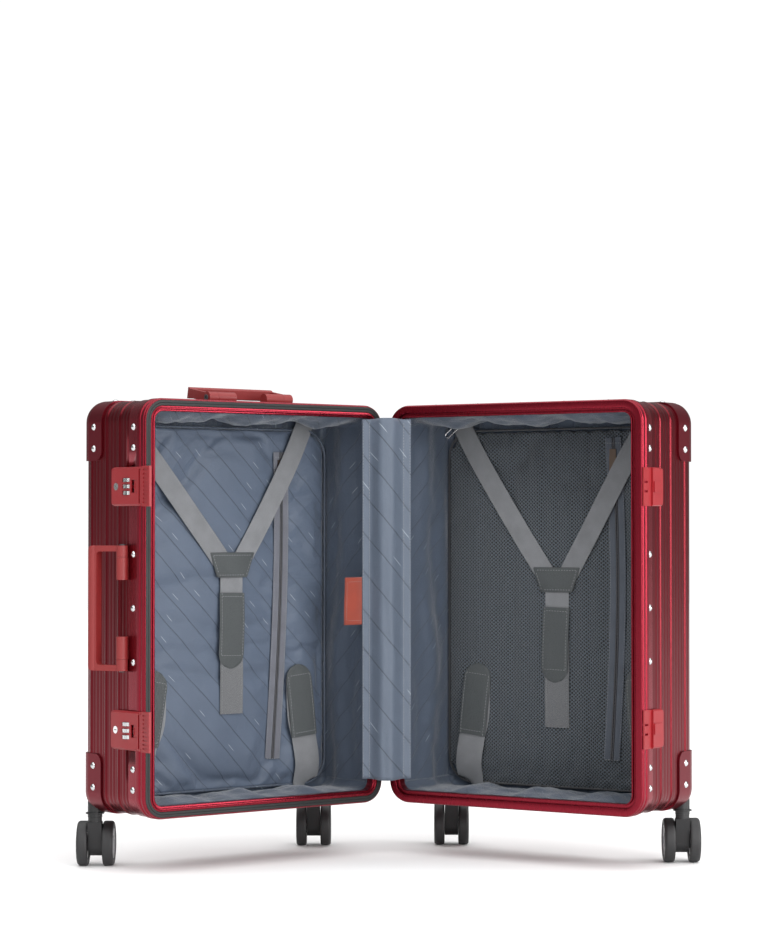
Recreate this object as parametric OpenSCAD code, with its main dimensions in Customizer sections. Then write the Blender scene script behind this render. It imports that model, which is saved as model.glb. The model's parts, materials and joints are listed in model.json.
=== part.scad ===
// Hard shell suitcase with an aluminium frame, standing open on its four twin-wheel casters.
// Each half is modelled in its own frame: X across the width with the hinge wall at +X and the
// lock wall at -X, Y from the opening plane to the face, Z up from the bottom wall. The back half
// stands square in the model frame, and the front half is swung open about the hinge pin.

/* [Case] */
// Width of the case, from lock wall to hinge wall
case_w = 358; // [330:1:400]
// Height of the case body without the casters
case_h = 491; // [460:1:540]
// Depth of each half, from the opening plane to its face
half_d = 133; // [130:1:135]
// Radius of the four upright corners
corner_r = 24; // [22:1:30]
// Radius of the edge between the walls and the face
edge_r = 16; // [12:1:18]
// Thickness of the aluminium sheet
sheet = 1.5; // [1:0.1:2]
// Angle that the front half stands open at rest
open_angle = 105.5; // [60:0.5:140]
// Gap between the two closed halves
parting = 1; // [0.5:0.1:1.5]

/* [Locks and handles] */
// Height of each lock above and below the middle of the case
lock_offset = 143.7; // [120:0.1:150]
// Height of a lock plate
lock_h = 46; // [44:1:50]
// Overall length of the side handle
side_handle_l = 148; // [140:1:160]
// Overall length of the top handle
top_handle_l = 127; // [120:1:150]
// Distance from a handle's pivot to the middle of its grip
arm_l = 40; // [36:1:46]
// Angle between the side handle and its wall at rest
side_raise = 22; // [20:1:30]
// Angle between the top handle and its wall at rest
top_raise = 10; // [8:1:20]

/* [Trolley] */
// Distance between the two trolley tubes
tube_gap = 120; // [100:1:130]
// Outer diameter of the fixed trolley tubes
tube_d = 16; // [16:0.5:17]

/* [Casters] */
// Wheel diameter
wheel_d = 54; // [50:1:58]
// Wheel tread width
wheel_w = 13; // [11:0.5:14]
// Clear height under the case body
ground = 68; // [66:1:72]
// Distance from the swivel axis back to the axle
trail = 14; // [10:1:16]
// Direction in the floor plane that the wheels trail in
roll_angle = 50; // [0:5:90]

/* [Hidden] */

shell_red = "#8e1526";
frame_red = "#a81c30";
lock_red = "#c8102e";
handle_red = "#c23636";
steel = "#c9ccd0";
fabric_grey = "#5f6b7c";
mesh_grey = "#4a505a";
webbing_grey = "#84888c";

mid_z = case_h / 2;
fit = 0.05;                       // radial clearance of a running fit
hinge_out = 7.5;                  // hinge axis outside the hinge wall
hinge_axis = [case_w / 2 + hinge_out, -parting / 2];
origin_x = 116.5;                 // from the middle of the back half to the middle of the open case
origin_y = 95.1;                  // the same in depth, from the opening plane

// Places one half's own frame in the model frame.
module back_half() translate([-origin_x, origin_y, ground]) children();
module front_half()
    translate([hinge_axis.x - origin_x, hinge_axis.y + origin_y, ground])
        rotate(open_angle)
            translate([-hinge_axis.x, -hinge_axis.y - parting, 0])
                mirror([0, 1, 0]) children();

// Places a fitting on a wall: local X points out of the wall, Y into the case's depth.
module on_lock_wall(z) translate([-case_w / 2, 0, z]) mirror([1, 0, 0]) children();
module on_hinge_wall(z) translate([case_w / 2, 0, z]) children();
module on_top_wall(x) translate([x, 0, case_h]) rotate([0, -90, 0]) children();
module on_bottom_wall(x) translate([x, 0, 0]) rotate([0, 90, 0]) children();

// ---- Rings and trays: a section swept round the rounded rectangle of the case ----

// Turns a solid built face down, depth along +Z, into the half's frame.
module upright() translate([0, 0, mid_z]) rotate([-90, 0, 0]) children();

// Sweeps the child section, given as [distance from the corner axis, depth].
module ring(r) {
    for (i = [0:3]) rotate(90 * i) {
        across = (i % 2 == 0 ? case_w : case_h) / 2 - corner_r;
        along = (i % 2 == 0 ? case_h : case_w) / 2 - corner_r;
        translate([across, along, 0]) rotate_extrude(angle = 90, $fn = 64) children();
        translate([across, along, 0]) rotate([90, 0, 0]) linear_extrude(2 * along) children();
    }
}

// Section of a dished wall: n is how far its outside lies inside the sheet's outer surface.
function arc(cx, cy, r, a0, a1, steps) =
    [for (i = [0:steps]) let (a = a0 + (a1 - a0) * i / steps) [cx + r * cos(a), cy + r * sin(a)]];
function dished(n, t, y0, y1) =
    let (r = corner_r - n, e = edge_r - n, steps = 6)
    concat([[r, y0]], arc(r - e, y1 - e, e, 0, 90, steps), [[0, y1], [0, y1 - t]],
           arc(r - e, y1 - e, e - t, 90, 0, steps), [[r - t, y0]]);

module tray(n, t, y0, y1) {
    ring() polygon(dished(n, t, y0, y1));
    translate([0, 0, y1 - t / 2])
        cube([case_w - 2 * corner_r, case_h - 2 * corner_r, t], center = true);
}

// A low bead pressed out of the wall, right round the case.
module bead(y) ring() polygon([[corner_r - 0.5, y - 3], [corner_r, y - 3], [corner_r + 1.2, y - 1.5],
                               [corner_r + 1.2, y + 1.5], [corner_r, y + 3], [corner_r - 0.5, y + 3]]);

module case_shell(beads) {
    shell_y0 = 6;
    difference() {
        upright() {
            tray(0, sheet, shell_y0, half_d);
            for (y = beads) bead(y);
        }
        children();
    }
}

// ---- Frames ----

nose = 13;                        // width of a frame's front face, measured from the sheet
flange = 1.5;                     // thickness of a frame's outer and inner flanges
bead_out = 2.6;                   // how far a frame bead stands out from the sheet's surface
back_flange_d = 34;
front_flange_d = 26;

function frame_outside(depth) =
    [[1, 0], [flange, 0.5], [flange, 2.5], [bead_out, 3.5], [bead_out, 6], [flange, 7],
     [flange, 9.5], [bead_out, 10.5], [bead_out, 17], [flange, 18], [flange, depth]];
function frame_inside(depth) =
    [[0, depth], [0, 6], [-sheet, 6], [-sheet, depth - 4], [-sheet - flange, depth - 4],
     [-sheet - flange, 5], [2 - nose, 5], [2 - nose, 12], [-nose, 12], [-nose, 0]];
function at_corner(points) = [for (p = points) [corner_r + p.x, p.y]];

seal_w = 7;
seal_out = 0.5;                   // the seal's outer edge stands this far outside the sheet
seal_in = seal_out - seal_w;
tongue = [[-10.5, 0], [-10.5, -2.5], [-8.5, -2.5], [-8.5, 0]];
seal_seat = [[seal_in, 0], [seal_in, 2], [seal_out, 2], [seal_out, 0]];
groove = [[-11.5, 0], [-11.5, 3.8], [-7.5, 3.8], [-7.5, 0]];

module back_frame() color(frame_red) back_half() difference() {
    upright() ring()
        polygon(at_corner(concat(frame_outside(back_flange_d), frame_inside(back_flange_d),
                                 tongue, seal_seat)));
    lock_windows();
}

module front_frame() color(frame_red) front_half() upright() ring()
    polygon(at_corner(concat(frame_outside(front_flange_d), frame_inside(front_flange_d), groove)));

module frame_seal() color("#23282a") back_half() upright() ring()
    polygon(at_corner([[seal_in, 2], [seal_out, 2], [seal_out, -0.2], [seal_out - 1, -0.8],
                       [seal_in + 1, -0.8], [seal_in, -0.2]]));

// Openings for the dials, which reach through the wall behind each lock.
dial_v = 30.6;
module lock_windows() for (z = lock_heights) on_lock_wall(z)
    translate([-8, dial_v - 10, -15]) cube([12, 20, 30]);

// ---- Shells, guards and rivets ----

back_beads = [56, 83];
front_beads = [49, 75];

module back_shell() color(shell_red) back_half() case_shell(back_beads) {
    lock_windows();
    translate([-housing_w / 2, trolley_v - housing_d / 2, case_h - housing_h - 1])
        cube([housing_w, housing_d, housing_h + 8]);
    caster_posts();
}

module front_shell() color(shell_red) front_half() case_shell(front_beads) caster_posts();

guard_t = 2.5;
guard_l = 46;                     // length of a guard's straps beyond the corner
guard_d = 42.5;                   // depth of a guard on the walls
guard_r = 12;                     // rounding of the ends of its straps

module corner_cut(r) difference() {
    translate([0, 0, -8]) cube([r + 1, r + 1, 16]);
    translate([0, 0, -9]) cylinder(r = r, h = 18, $fn = 48);
}

// One guard, face down, with the corner axis on Z and the corner towards +X +Y.
module corner_guard() {
    section = dished(-guard_t, guard_t, half_d - guard_d, half_d + guard_t);
    wall_end = [corner_r, guard_l - guard_r, half_d - guard_d + guard_r];
    difference() {
        union() {
            rotate_extrude(angle = 90, $fn = 64) polygon(section);
            rotate([90, 0, 0]) linear_extrude(guard_l) polygon(section);
            translate([-guard_l, 0, 0]) rotate([90, 0, 90]) linear_extrude(guard_l) polygon(section);
            translate([-guard_l, -guard_l, half_d]) cube([guard_l, guard_l, guard_t]);
        }
        translate([guard_r - guard_l, guard_r - guard_l, half_d]) rotate(180) corner_cut(guard_r);
        translate([wall_end.x, -wall_end.y, wall_end.z])
            rotate([90, 0, 90]) rotate(180) corner_cut(guard_r);
        translate([-wall_end.y, wall_end.x, wall_end.z])
            rotate([90, 0, 0]) rotate(180) corner_cut(guard_r);
    }
}

module corner_guards() difference() {
    upright() for (sx = [0, 1], sy = [0, 1]) mirror([sx, 0, 0]) mirror([0, sy, 0])
        translate([case_w / 2 - corner_r, case_h / 2 - corner_r, 0]) corner_guard();
    caster_posts();
}

module back_corner_guards() color(shell_red) back_half() corner_guards();
module front_corner_guards() color(shell_red) front_half() corner_guards();

rivet_d = 8;
rivet_h = 2.2;
wall_rivets = [0, 63.5, -63.5, 189.5, -189.5, 214, -214];
lid_rivets = [0, 62, -62, 124, -124];
guard_rivets = [29.5, 55.5];      // distances of the guard rivets from the case's corner
guard_rivet_v = half_d - 26;

// A domed rivet seated at height x on a wall, with its shank into the wall.
module rivet(x, shank) translate([x, 0, 0]) rotate([0, 90, 0]) {
    dome_r = (pow(rivet_d / 2, 2) + pow(rivet_h, 2)) / (2 * rivet_h);
    intersection() {
        translate([0, 0, rivet_h - dome_r]) sphere(dome_r, $fn = 48);
        cylinder(d = rivet_d, h = 2 * rivet_h, $fn = 32);
    }
    translate([0, 0, -shank]) cylinder(d = 3.2, h = shank, $fn = 24);
}

guard_shank = guard_t + sheet + 0.5;
module guard_rivet() translate([0, guard_rivet_v, 0]) rivet(guard_t, guard_shank);

// A rivet sunk flush into a guard's face, so that the case lies flat on its guards.
module face_rivet() translate([guard_t, 0, 0]) rotate([0, 90, 0]) {
    translate([0, 0, -0.1 - 1.2]) cylinder(d = rivet_d, h = 1.2, $fn = 32);
    translate([0, 0, -guard_shank]) cylinder(d = 3.2, h = guard_shank - 1, $fn = 24);
}

module rivets(v) {
    seat = flange;
    shank = 4;
    for (z = wall_rivets) {
        on_lock_wall(mid_z + z) translate([0, v, 0]) rivet(seat, shank);
        on_hinge_wall(mid_z + z) translate([0, v, 0]) rivet(leaf_out, shank + leaf_out - seat);
    }
    for (x = lid_rivets) {
        on_top_wall(x) translate([0, v, 0]) rivet(seat, shank);
        on_bottom_wall(x) translate([0, v, 0]) rivet(seat, shank);
    }
    for (a = guard_rivets, s = [-1, 1]) {
        on_lock_wall(mid_z + s * (mid_z - a)) guard_rivet();
        on_hinge_wall(mid_z + s * (mid_z - a)) guard_rivet();
        on_top_wall(s * (case_w / 2 - a)) guard_rivet();
    }
    // Under the case the casters take the place of the rivets nearest the corners
    for (s = [-1, 1]) on_bottom_wall(s * (case_w / 2 - guard_rivets[1])) guard_rivet();
    for (s = [-1, 1], t = [-1, 1], face = [[29.5, 55.5], [55.5, 29.5]])
        translate([s * (case_w / 2 - face.x), half_d, mid_z + t * (mid_z - face.y)])
            rotate(90) face_rivet();
}

module back_rivets() color(steel) back_half() rivets(25);
module front_rivets() color(steel) front_half() rivets(20);

// ---- Inside: linings, dividers, straps, zips ----

lining_n = 10;
lining_t = 1.2;
back_floor = 103.8;               // the lining's floor lies in front of the trolley tubes
front_floor = 120.8;
divider_t = 7;
divider_w = case_w - 28;
divider_z = [15, 466];
divider_r = 34;
strap_t = 1.8;
divider_gap = 0.8;                // between a divider and the lining's floor
strap_gap = 6.5;                  // from a strap's front to the divider's front face

module lining(floor_y) color(fabric_grey) difference() {
    upright() tray(lining_n, lining_t, 12.4, floor_y);
    children();
}
module back_lining() back_half() lining(back_floor);
module front_lining() front_half() lining(front_floor);

function divider_front(floor_y) = floor_y - lining_t - divider_gap - divider_t;

module divider(floor_y) {
    w = divider_w / 2 - divider_r;
    translate([0, divider_front(floor_y) + divider_t, 0]) rotate([90, 0, 0])
        linear_extrude(divider_t) {
            for (x = [-w, w], z = [divider_z[0] + divider_r, divider_z[1] - divider_r])
                translate([x, z]) circle(divider_r, $fn = 64);
            translate([-divider_w / 2, divider_z[0] + divider_r])
                square([divider_w, divider_z[1] - divider_z[0] - 2 * divider_r]);
            translate([-w, divider_z[0]]) square([2 * w, divider_z[1] - divider_z[0]]);
        }
}
module back_divider() color(fabric_grey) back_half() divider(back_floor);
module front_divider() color(mesh_grey) front_half() divider(front_floor);

// Two arms from the top corners to a yoke, a tail below it, and two short straps.
module webbing(a, b, w) {
    run = b - a;
    translate(a) rotate(atan2(run.y, run.x)) translate([0, -w / 2]) square([norm(run), w]);
}
module straps(floor_y, yoke_x, yoke_z) color(webbing_grey)
    translate([0, divider_front(floor_y) - strap_gap + strap_t, 0]) rotate([90, 0, 0])
        linear_extrude(strap_t) {
            for (s = [-1, 1]) {
                webbing([yoke_x + 16 * s, yoke_z - 4], [140 * s, divider_z[1] - 4], 26);
                webbing([122 * s, 14], [119 * s, 168], 38);
            }
            translate([yoke_x, yoke_z])
                polygon([[-34, 12], [34, 12], [23, -18], [-23, -18]]);
            webbing([yoke_x, yoke_z], [yoke_x, yoke_z - 186], 36);
        }
module back_straps() back_half() straps(back_floor, 12, 297);
module front_straps() front_half() straps(front_floor, 0, 278);

// A zip slider with its puller, hanging from z on the divider.
module zip_slider(floor_y, x, z) color("#3b3330")
    translate([x, divider_front(floor_y) - 0.3, z]) rotate([90, 0, 0]) {
        translate([-4.5, -5, 0]) cube([9, 10, 3.2]);
        difference() {
            translate([-5, -34, 1]) cube([10, 30, 2]);
            translate([0, -29, 0]) cylinder(d = 4, h = 4, $fn = 24);
        }
    }
module back_zip_slider() back_half() zip_slider(back_floor, 91, 421);
module front_zip_slider() front_half() zip_slider(front_floor, -79, 433);

// The fabric gusset inside the hinge, drawn as the strip where it is fixed to the back frame.
module hinge_cover() color(fabric_grey) back_half()
    translate([case_w / 2 - 29, 2, 28]) cube([29 - nose, 1.2, case_h - 56]);

// ---- Hinge ----

leaf_out = 4.1;                   // outer surface of a hinge leaf
leaf_t = leaf_out - bead_out;
knuckle_r = 3.2;
knuckle_l = 36;
knuckle_n = 12;
hinge_z0 = mid_z - knuckle_n * knuckle_l / 2;
hinge_pin_d = 2.6;

// Knuckles first, first + 2, ... of the hinge, with the leaf that joins them to the frame.
module hinge_leaf(first, clearance) translate([case_w / 2, 0, 0]) difference() {
    union() {
        translate([bead_out, 1.5, hinge_z0]) cube([leaf_t, 29.5, knuckle_n * knuckle_l]);
        for (i = [first:2:knuckle_n - 1])
            translate([0, 0, hinge_z0 + i * knuckle_l + 0.25]) linear_extrude(knuckle_l - 0.5) {
                translate([hinge_out, -parting / 2]) circle(knuckle_r, $fn = 32);
                polygon([[bead_out, 1.5], [bead_out, 6], [leaf_out, 6], [hinge_out + 2.5, 1.4],
                         [hinge_out, -parting / 2], [hinge_out - 2.5, 0.6]]);
            }
    }
    translate([hinge_out, -parting / 2, hinge_z0 - 1])
        cylinder(d = hinge_pin_d + 2 * clearance, h = knuckle_n * knuckle_l + 2, $fn = 32);
}
module hinge_leaf_back() color(frame_red) back_half() hinge_leaf(0, 0);
module hinge_leaf_front() color(frame_red) front_half() hinge_leaf(1, fit);

module hinge_pin() color(steel) back_half()
    translate([hinge_axis.x, hinge_axis.y, hinge_z0 - 2]) {
        cylinder(d = hinge_pin_d, h = knuckle_n * knuckle_l + 4, $fn = 32);
        for (z = [-1.4, knuckle_n * knuckle_l + 4]) translate([0, 0, z])
            cylinder(d = 5, h = 1.4, $fn = 32);
    }

// ---- Locks on the back half, keepers on the front half ----

lock_heights = [mid_z + lock_offset, mid_z - lock_offset];
lock_top = 8;                     // outer surface of the lock, from the wall
roof = 1.6;
lock_v1 = 60.6;
lock_round = 5;
latch_axis = [5.4, 1.6];
latch_r = 2.6;
latch_h = lock_h + 1.5;
latch_v0 = -17.4;
dial_r = 8.5;
dial_t = 4.2;
dial_x = 1.9;
dial_pitch = 7.6;
button_v = [7, 19.5];
key_v = 50.7;
key_d = 8.8;

// Chamfered cover outline: a rounded plate seen from outside, bevelled along both long edges.
module lock_cover(v0, v1, h, top, chamfer) intersection() {
    rotate([90, 0, 90]) linear_extrude(top) {
        translate([v0, -h / 2]) square([v1 - v0 - lock_round, h]);
        for (s = [-1, 1]) translate([v1 - lock_round, s * (h / 2 - lock_round)])
            circle(lock_round, $fn = 48);
        translate([v1 - lock_round - 1, lock_round - h / 2])
            square([lock_round + 1, h - 2 * lock_round]);
    }
    translate([0, v1, 0]) rotate([90, 0, 0]) linear_extrude(v1 - v0)
        polygon([[0, -h / 2], [top - chamfer, -h / 2], [top, chamfer - h / 2],
                 [top, h / 2 - chamfer], [top - chamfer, h / 2], [0, h / 2]]);
}

// The two cheeks under the roof that hold the dials' axle, reaching in through the wall.
module dial_cheeks() for (s = [-1, 1])
    translate([-1.5, dial_v - 5, s * 12.7 - 0.9]) cube([lock_top - roof + 2, 10, 1.8]);

module lock_case() difference() {
    union() {
        lock_cover(latch_axis.y, lock_v1, lock_h, lock_top, 2);
        for (s = [-1, 1]) translate([latch_axis.x, latch_axis.y, s * 21.5 - 1.5])
            cylinder(r = latch_r, h = 3, $fn = 32);
        dial_cheeks();
    }
    // Room under the roof, apart from the two cheeks that carry the dials
    difference() {
        translate([-1, 5.6, -21]) cube([lock_top - roof + 1, lock_v1 - 7.6, 42]);
        dial_cheeks();
    }
    // Notch for the latch barrel
    translate([-1, -2, -20]) cube([lock_top + 2, 6.6, 40]);
    // Underside: it sits on the frame's beads and over the shell's bead
    difference() {
        translate([-1, -2, -lock_h]) cube([bead_out + 1, back_flange_d + 2.5, 2 * lock_h]);
        dial_cheeks();
    }
    translate([-1, back_beads[0] - 3.3, -lock_h]) cube([2.4, 6.6, 2 * lock_h]);
    // Dial slots, button slot, key bore and the two pin bores
    for (i = [-1:1]) translate([0, dial_v - 7.5, i * dial_pitch - dial_t / 2 - 0.25])
        cube([lock_top + 1, 15, dial_t + 0.5]);
    translate([0, button_v[0], -7.5]) cube([lock_top + 1, button_v[1] - button_v[0], 15]);
    translate([0, key_v, 0]) rotate([0, 90, 0]) cylinder(d = key_d + 2 * fit, h = 20, $fn = 48);
    translate([latch_axis.x, latch_axis.y, -30]) cylinder(d = 2, h = 60, $fn = 24);
    translate([dial_x, dial_v, -30]) cylinder(d = 3, h = 60, $fn = 24);
}
module lock_cases() color(lock_red) back_half()
    for (z = lock_heights) on_lock_wall(z) lock_case();

module lock_pins() color(steel) back_half() for (z = lock_heights) on_lock_wall(z) {
    translate([latch_axis.x, latch_axis.y, -23]) cylinder(d = 2, h = 46, $fn = 24);
    translate([dial_x, dial_v, -14]) cylinder(d = 3, h = 28, $fn = 24);
}

module dial(i) translate([dial_x, dial_v, i * dial_pitch - dial_t / 2]) difference() {
    cylinder(r = dial_r, h = dial_t, $fn = 48);
    translate([0, 0, -1]) cylinder(d = 3 + 2 * fit, h = dial_t + 2, $fn = 24);
    for (a = [0:36:359]) rotate(a) translate([dial_r + 0.4, 0, -1])
        cylinder(r = 0.9, h = dial_t + 2, $fn = 16);
}

module lock_button() {
    translate([3.2, 6.4, -9]) cube([lock_top - roof - 3.4, 9.4, 18]);
    translate([4.4, button_v[0] + 0.3, -7.2]) cube([2.9, 7.4, 14.4]);
    translate([4.4, button_v[0] + 5.6, -4]) cube([3.4, 1.6, 8]);
}

module key_barrel() difference() {
    translate([1.8, key_v, 0]) rotate([0, 90, 0]) {
        cylinder(d = key_d, h = lock_top - 1.2, $fn = 48);
        cylinder(d = key_d + 2.4, h = 2.8, $fn = 48);
    }
    translate([lock_top - 3, key_v - 2.6, -0.6]) cube([6, 5.2, 1.2]);
}

// The latch flap: barrel on the lock's pin, plate over the keeper, ribs across the plate.
module latch() difference() {
    union() {
        translate([latch_axis.x, latch_axis.y, -19.7]) cylinder(r = 2.5, h = 39.4, $fn = 32);
        translate([4.9, latch_v0 + 2, -19.7]) cube([lock_top - 4.9, latch_axis.y - latch_v0 - 2, 39.4]);
        translate([4.9, latch_v0, -latch_h / 2]) cube([lock_top - 4.9, -1.4 - latch_v0, latch_h]);
    }
    for (i = [-4:4]) translate([lock_top - 0.8, latch_v0 + 4, i * 4.8 - 1]) cube([2, 8.5, 2]);
    translate([latch_axis.x, latch_axis.y, -30]) cylinder(d = 2 + 2 * fit, h = 60, $fn = 24);
}

module keepers() color(lock_red) front_half() for (z = lock_heights) on_lock_wall(z)
    difference() {
        union() {
            lock_cover(0.4, 43, lock_h, 6.8, 1.5);
            translate([4, 20, -6.5]) cube([4.2, 17.5, 13]);
        }
        translate([4.5, -1, -lock_h]) cube([9, 1 - latch_v0 + 1, 2 * lock_h]);
        translate([-1, -1, -lock_h]) cube([bead_out + 1, front_flange_d + 1.5, 2 * lock_h]);
        for (s = [-1, 1]) translate([0, 2, s * 5.6 - 1.3]) cube([9, 7.6, 2.6]);
    }

// ---- Handles ----

pivot_v = 38.5;
pivot_out = 7.6;
barrel_r = 7;
handle_pin_d = 5;
hub_l = 6.5;                      // length of the barrel piece that turns with the handle
arm_t = 7;
grip_d = 14;

// The two mounts of a handle of length l, centred on the origin and pivoting about Z.
module handle_mount_pair(l) for (s = [0, 1]) mirror([0, 0, s])
    translate([0, 0, l / 2 - arm_t - 33.5]) difference() {
        mount_l = 33.5 - hub_l - 0.3;
        union() {
            cylinder(r = barrel_r, h = mount_l, $fn = 48);
            translate([-pivot_out, -3.7, 0]) cube([pivot_out, 3.7 + barrel_r, mount_l]);
        }
        translate([0, 0, mount_l - 24]) cylinder(d = handle_pin_d, h = 30, $fn = 32);
    }

module handle_pin_pair(l) for (s = [0, 1]) mirror([0, 0, s]) difference() {
    union() {
        translate([0, 0, l / 2 - 37]) cylinder(d = handle_pin_d, h = 37.3, $fn = 32);
        translate([0, 0, l / 2 + 0.3]) cylinder(d = 7, h = 1.2, $fn = 32);
    }
    translate([0, 0, l / 2 - 0.7]) cylinder(d = 3, h = 3, $fn = 6);
}

// The handle, pivoting about Z, with its arms raised from +Y towards +X.
module handle(l, raise) rotate(-raise) difference() {
    union() {
        intersection() {
            rotate([90, 0, 90]) translate([0, 0, -12]) linear_extrude(24) handle_outline(l);
            translate([0, 0, -l]) linear_extrude(2 * l) {
                translate([-5.5, -barrel_r]) square([11, arm_l + barrel_r]);
                translate([0, arm_l]) circle(d = grip_d, $fn = 48);
            }
        }
        for (s = [0, 1]) mirror([0, 0, s]) translate([0, 0, l / 2 - arm_t - hub_l])
            cylinder(r = barrel_r, h = hub_l + arm_t, $fn = 48);
    }
    translate([0, 0, -l]) cylinder(d = handle_pin_d + 2 * fit, h = 2 * l, $fn = 32);
}

// Outline of the handle's U in [distance from the pivot, height].
module handle_outline(l) {
    outer_r = 10;
    reach = arm_l + grip_d / 2;
    difference() {
        union() {
            translate([0, -l / 2]) square([reach - outer_r, l]);
            translate([0, outer_r - l / 2]) square([reach, l - 2 * outer_r]);
            for (s = [-1, 1]) translate([reach - outer_r, s * (l / 2 - outer_r)])
                circle(outer_r, $fn = 48);
        }
        translate([-1, arm_t - l / 2]) square([reach - grip_d - 4 + 1, l - 2 * arm_t]);
        translate([-1, arm_t + 4 - l / 2]) square([reach - grip_d + 1, l - 2 * arm_t - 8]);
        for (s = [-1, 1]) translate([reach - grip_d - 4, s * (l / 2 - arm_t - 4)])
            circle(4, $fn = 32);
    }
}

module side_pivot() on_lock_wall(mid_z) translate([pivot_out, pivot_v, 0]) children();
module top_pivot() on_top_wall(0) translate([pivot_out, pivot_v, 0]) children();

module handle_mounts() color(handle_red) back_half() {
    side_pivot() handle_mount_pair(side_handle_l);
    top_pivot() handle_mount_pair(top_handle_l);
}
module handle_pins() color("#2c2c2e") back_half() {
    side_pivot() handle_pin_pair(side_handle_l);
    top_pivot() handle_pin_pair(top_handle_l);
}
module side_handle() color(handle_red) back_half() side_pivot() handle(side_handle_l, side_raise);
module top_handle() color(handle_red) back_half() top_pivot() handle(top_handle_l, top_raise);

// ---- Trolley ----

trolley_v = half_d - 11.4;
housing_w = tube_gap + 36;
housing_d = 18.8;
housing_h = 22;
housing_top = 1.5;                // how far the housing's rim stands out of the top wall
foot_z = 16;                      // underside of the block that holds the tubes' feet
foot_h = 14;
tube_z0 = foot_z + 4;
tube_wall = 0.9;
middle_d = tube_d - 2 * tube_wall - 2 * fit;
inner_d = middle_d - 2 * tube_wall - 2 * fit;
grip_h = 17;
grip_top = case_h + 1;
button_l = 34;

module at_tubes() for (s = [-1, 1]) translate([s * tube_gap / 2, trolley_v, 0]) children();

module tube(outer, inner, z0, z1) at_tubes() translate([0, 0, z0]) difference() {
    cylinder(d = outer, h = z1 - z0, $fn = 48);
    translate([0, 0, -1]) cylinder(d = inner, h = z1 - z0 + 2, $fn = 48);
}

module trolley_housing() color("#2b2d30") back_half() {
    difference() {
        translate([-housing_w / 2, trolley_v - housing_d / 2, case_h - housing_h])
            cube([housing_w, housing_d, housing_h + housing_top]);
        translate([-housing_w / 2 + 1.4, trolley_v - housing_d / 2 + 1.4, case_h - grip_h - 0.5])
            cube([housing_w - 2.8, housing_d - 2.8, housing_h]);
        at_tubes() translate([0, 0, case_h - housing_h - 1])
            cylinder(d = tube_d - 2 * tube_wall, h = housing_h, $fn = 48);
    }
    // Foot that holds the lower ends of the tubes
    difference() {
        translate([-housing_w / 2, trolley_v - 9, foot_z])
            cube([housing_w, half_d - sheet - trolley_v + 9, foot_h]);
        at_tubes() translate([0, 0, tube_z0]) cylinder(d = tube_d, h = foot_h, $fn = 48);
        translate([14 - tube_gap / 2, trolley_v - 10, tube_z0]) cube([tube_gap - 28, 20, foot_h]);
    }
}

module trolley_outer_tubes() color(steel) back_half()
    tube(tube_d, tube_d - 2 * tube_wall, tube_z0, case_h - housing_h);
module trolley_middle_tubes() color(steel) back_half()
    tube(middle_d, middle_d - 2 * tube_wall, tube_z0 + 1, case_h - housing_h + 3);
module trolley_inner_tubes() color(steel) back_half()
    tube(inner_d, inner_d - 2 * tube_wall, tube_z0 + 2, grip_top - grip_h + 6);

module trolley_grip() color("#26282a") back_half() difference() {
    translate([-housing_w / 2 + 2.2, trolley_v - housing_d / 2 + 2, grip_top - grip_h + 0.5])
        cube([housing_w - 4.4, housing_d - 4, grip_h - 0.5]);
    at_tubes() translate([0, 0, grip_top - grip_h - 1]) cylinder(d = inner_d, h = 7, $fn = 48);
    translate([-button_l / 2 - 0.2, trolley_v - 4.2, grip_top - 8]) cube([button_l + 0.4, 8.4, 9]);
}

module trolley_button() color("#3a3d40") back_half()
    translate([-button_l / 2, trolley_v - 4, grip_top - 4]) cube([button_l, 8, 6]);

// ---- Casters ----

caster_inset = 11;
caster_top = 11;                  // top of a caster base inside the corner
base_d = 17.8;
base_h = 8;
axle_z = -ground + wheel_d / 2;
wheel_gap = 18;                   // space between the two wheels of a caster
axle_d = 5;
pivot_pin_d = 8;

// Calls its children at a caster's swivel axis, on the bottom of the case.
module caster_at(side) translate([side * (case_w / 2 - caster_inset), half_d - caster_inset, 0])
    children();

// The posts that carry the swivels, which pass through the guards and the shell.
module caster_posts() for (side = [-1, 1]) caster_at(side)
    translate([0, 0, -base_h]) cylinder(d = base_d, h = base_h + caster_top, $fn = 48);

module caster_bases() difference() {
    union() {
        caster_posts();
        for (side = [-1, 1]) caster_at(side)
            translate([0, 0, -guard_t - 1.4]) cylinder(d = base_d + 5, h = 1.4, $fn = 48);
    }
    for (side = [-1, 1]) caster_at(side) translate([0, 0, -base_h - 1])
        cylinder(d = pivot_pin_d, h = base_h - guard_t - 0.2, $fn = 32);
}

// The fork hangs between the wheels; its swivel pin turns in the base.
module caster_fork() difference() {
    union() {
        translate([0, 0, -base_h - 1])
            cylinder(d = pivot_pin_d - 2 * fit, h = base_h - guard_t - 0.6, $fn = 32);
        translate([0, 0, -base_h - 5.6]) cylinder(d = base_d - 0.8, h = 5.4, $fn = 48);
        translate([0, 8.4, 0]) rotate([90, 0, 0]) linear_extrude(16.8) {
            translate([trail, axle_z]) circle(15, $fn = 48);
            polygon([[-8.5, -base_h - 5.6], [8.5, -base_h - 5.6], [trail + 14.4, axle_z + 4],
                     [trail, axle_z - 5], [trail - 14.4, axle_z - 4]]);
        }
    }
    translate([trail, 20, axle_z]) rotate([90, 0, 0]) cylinder(d = axle_d, h = 40, $fn = 32);
}

module caster_axle() translate([trail, 0, axle_z]) rotate([90, 0, 0])
    cylinder(d = axle_d, h = wheel_gap + 2 * wheel_w - 4, center = true, $fn = 32);

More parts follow.
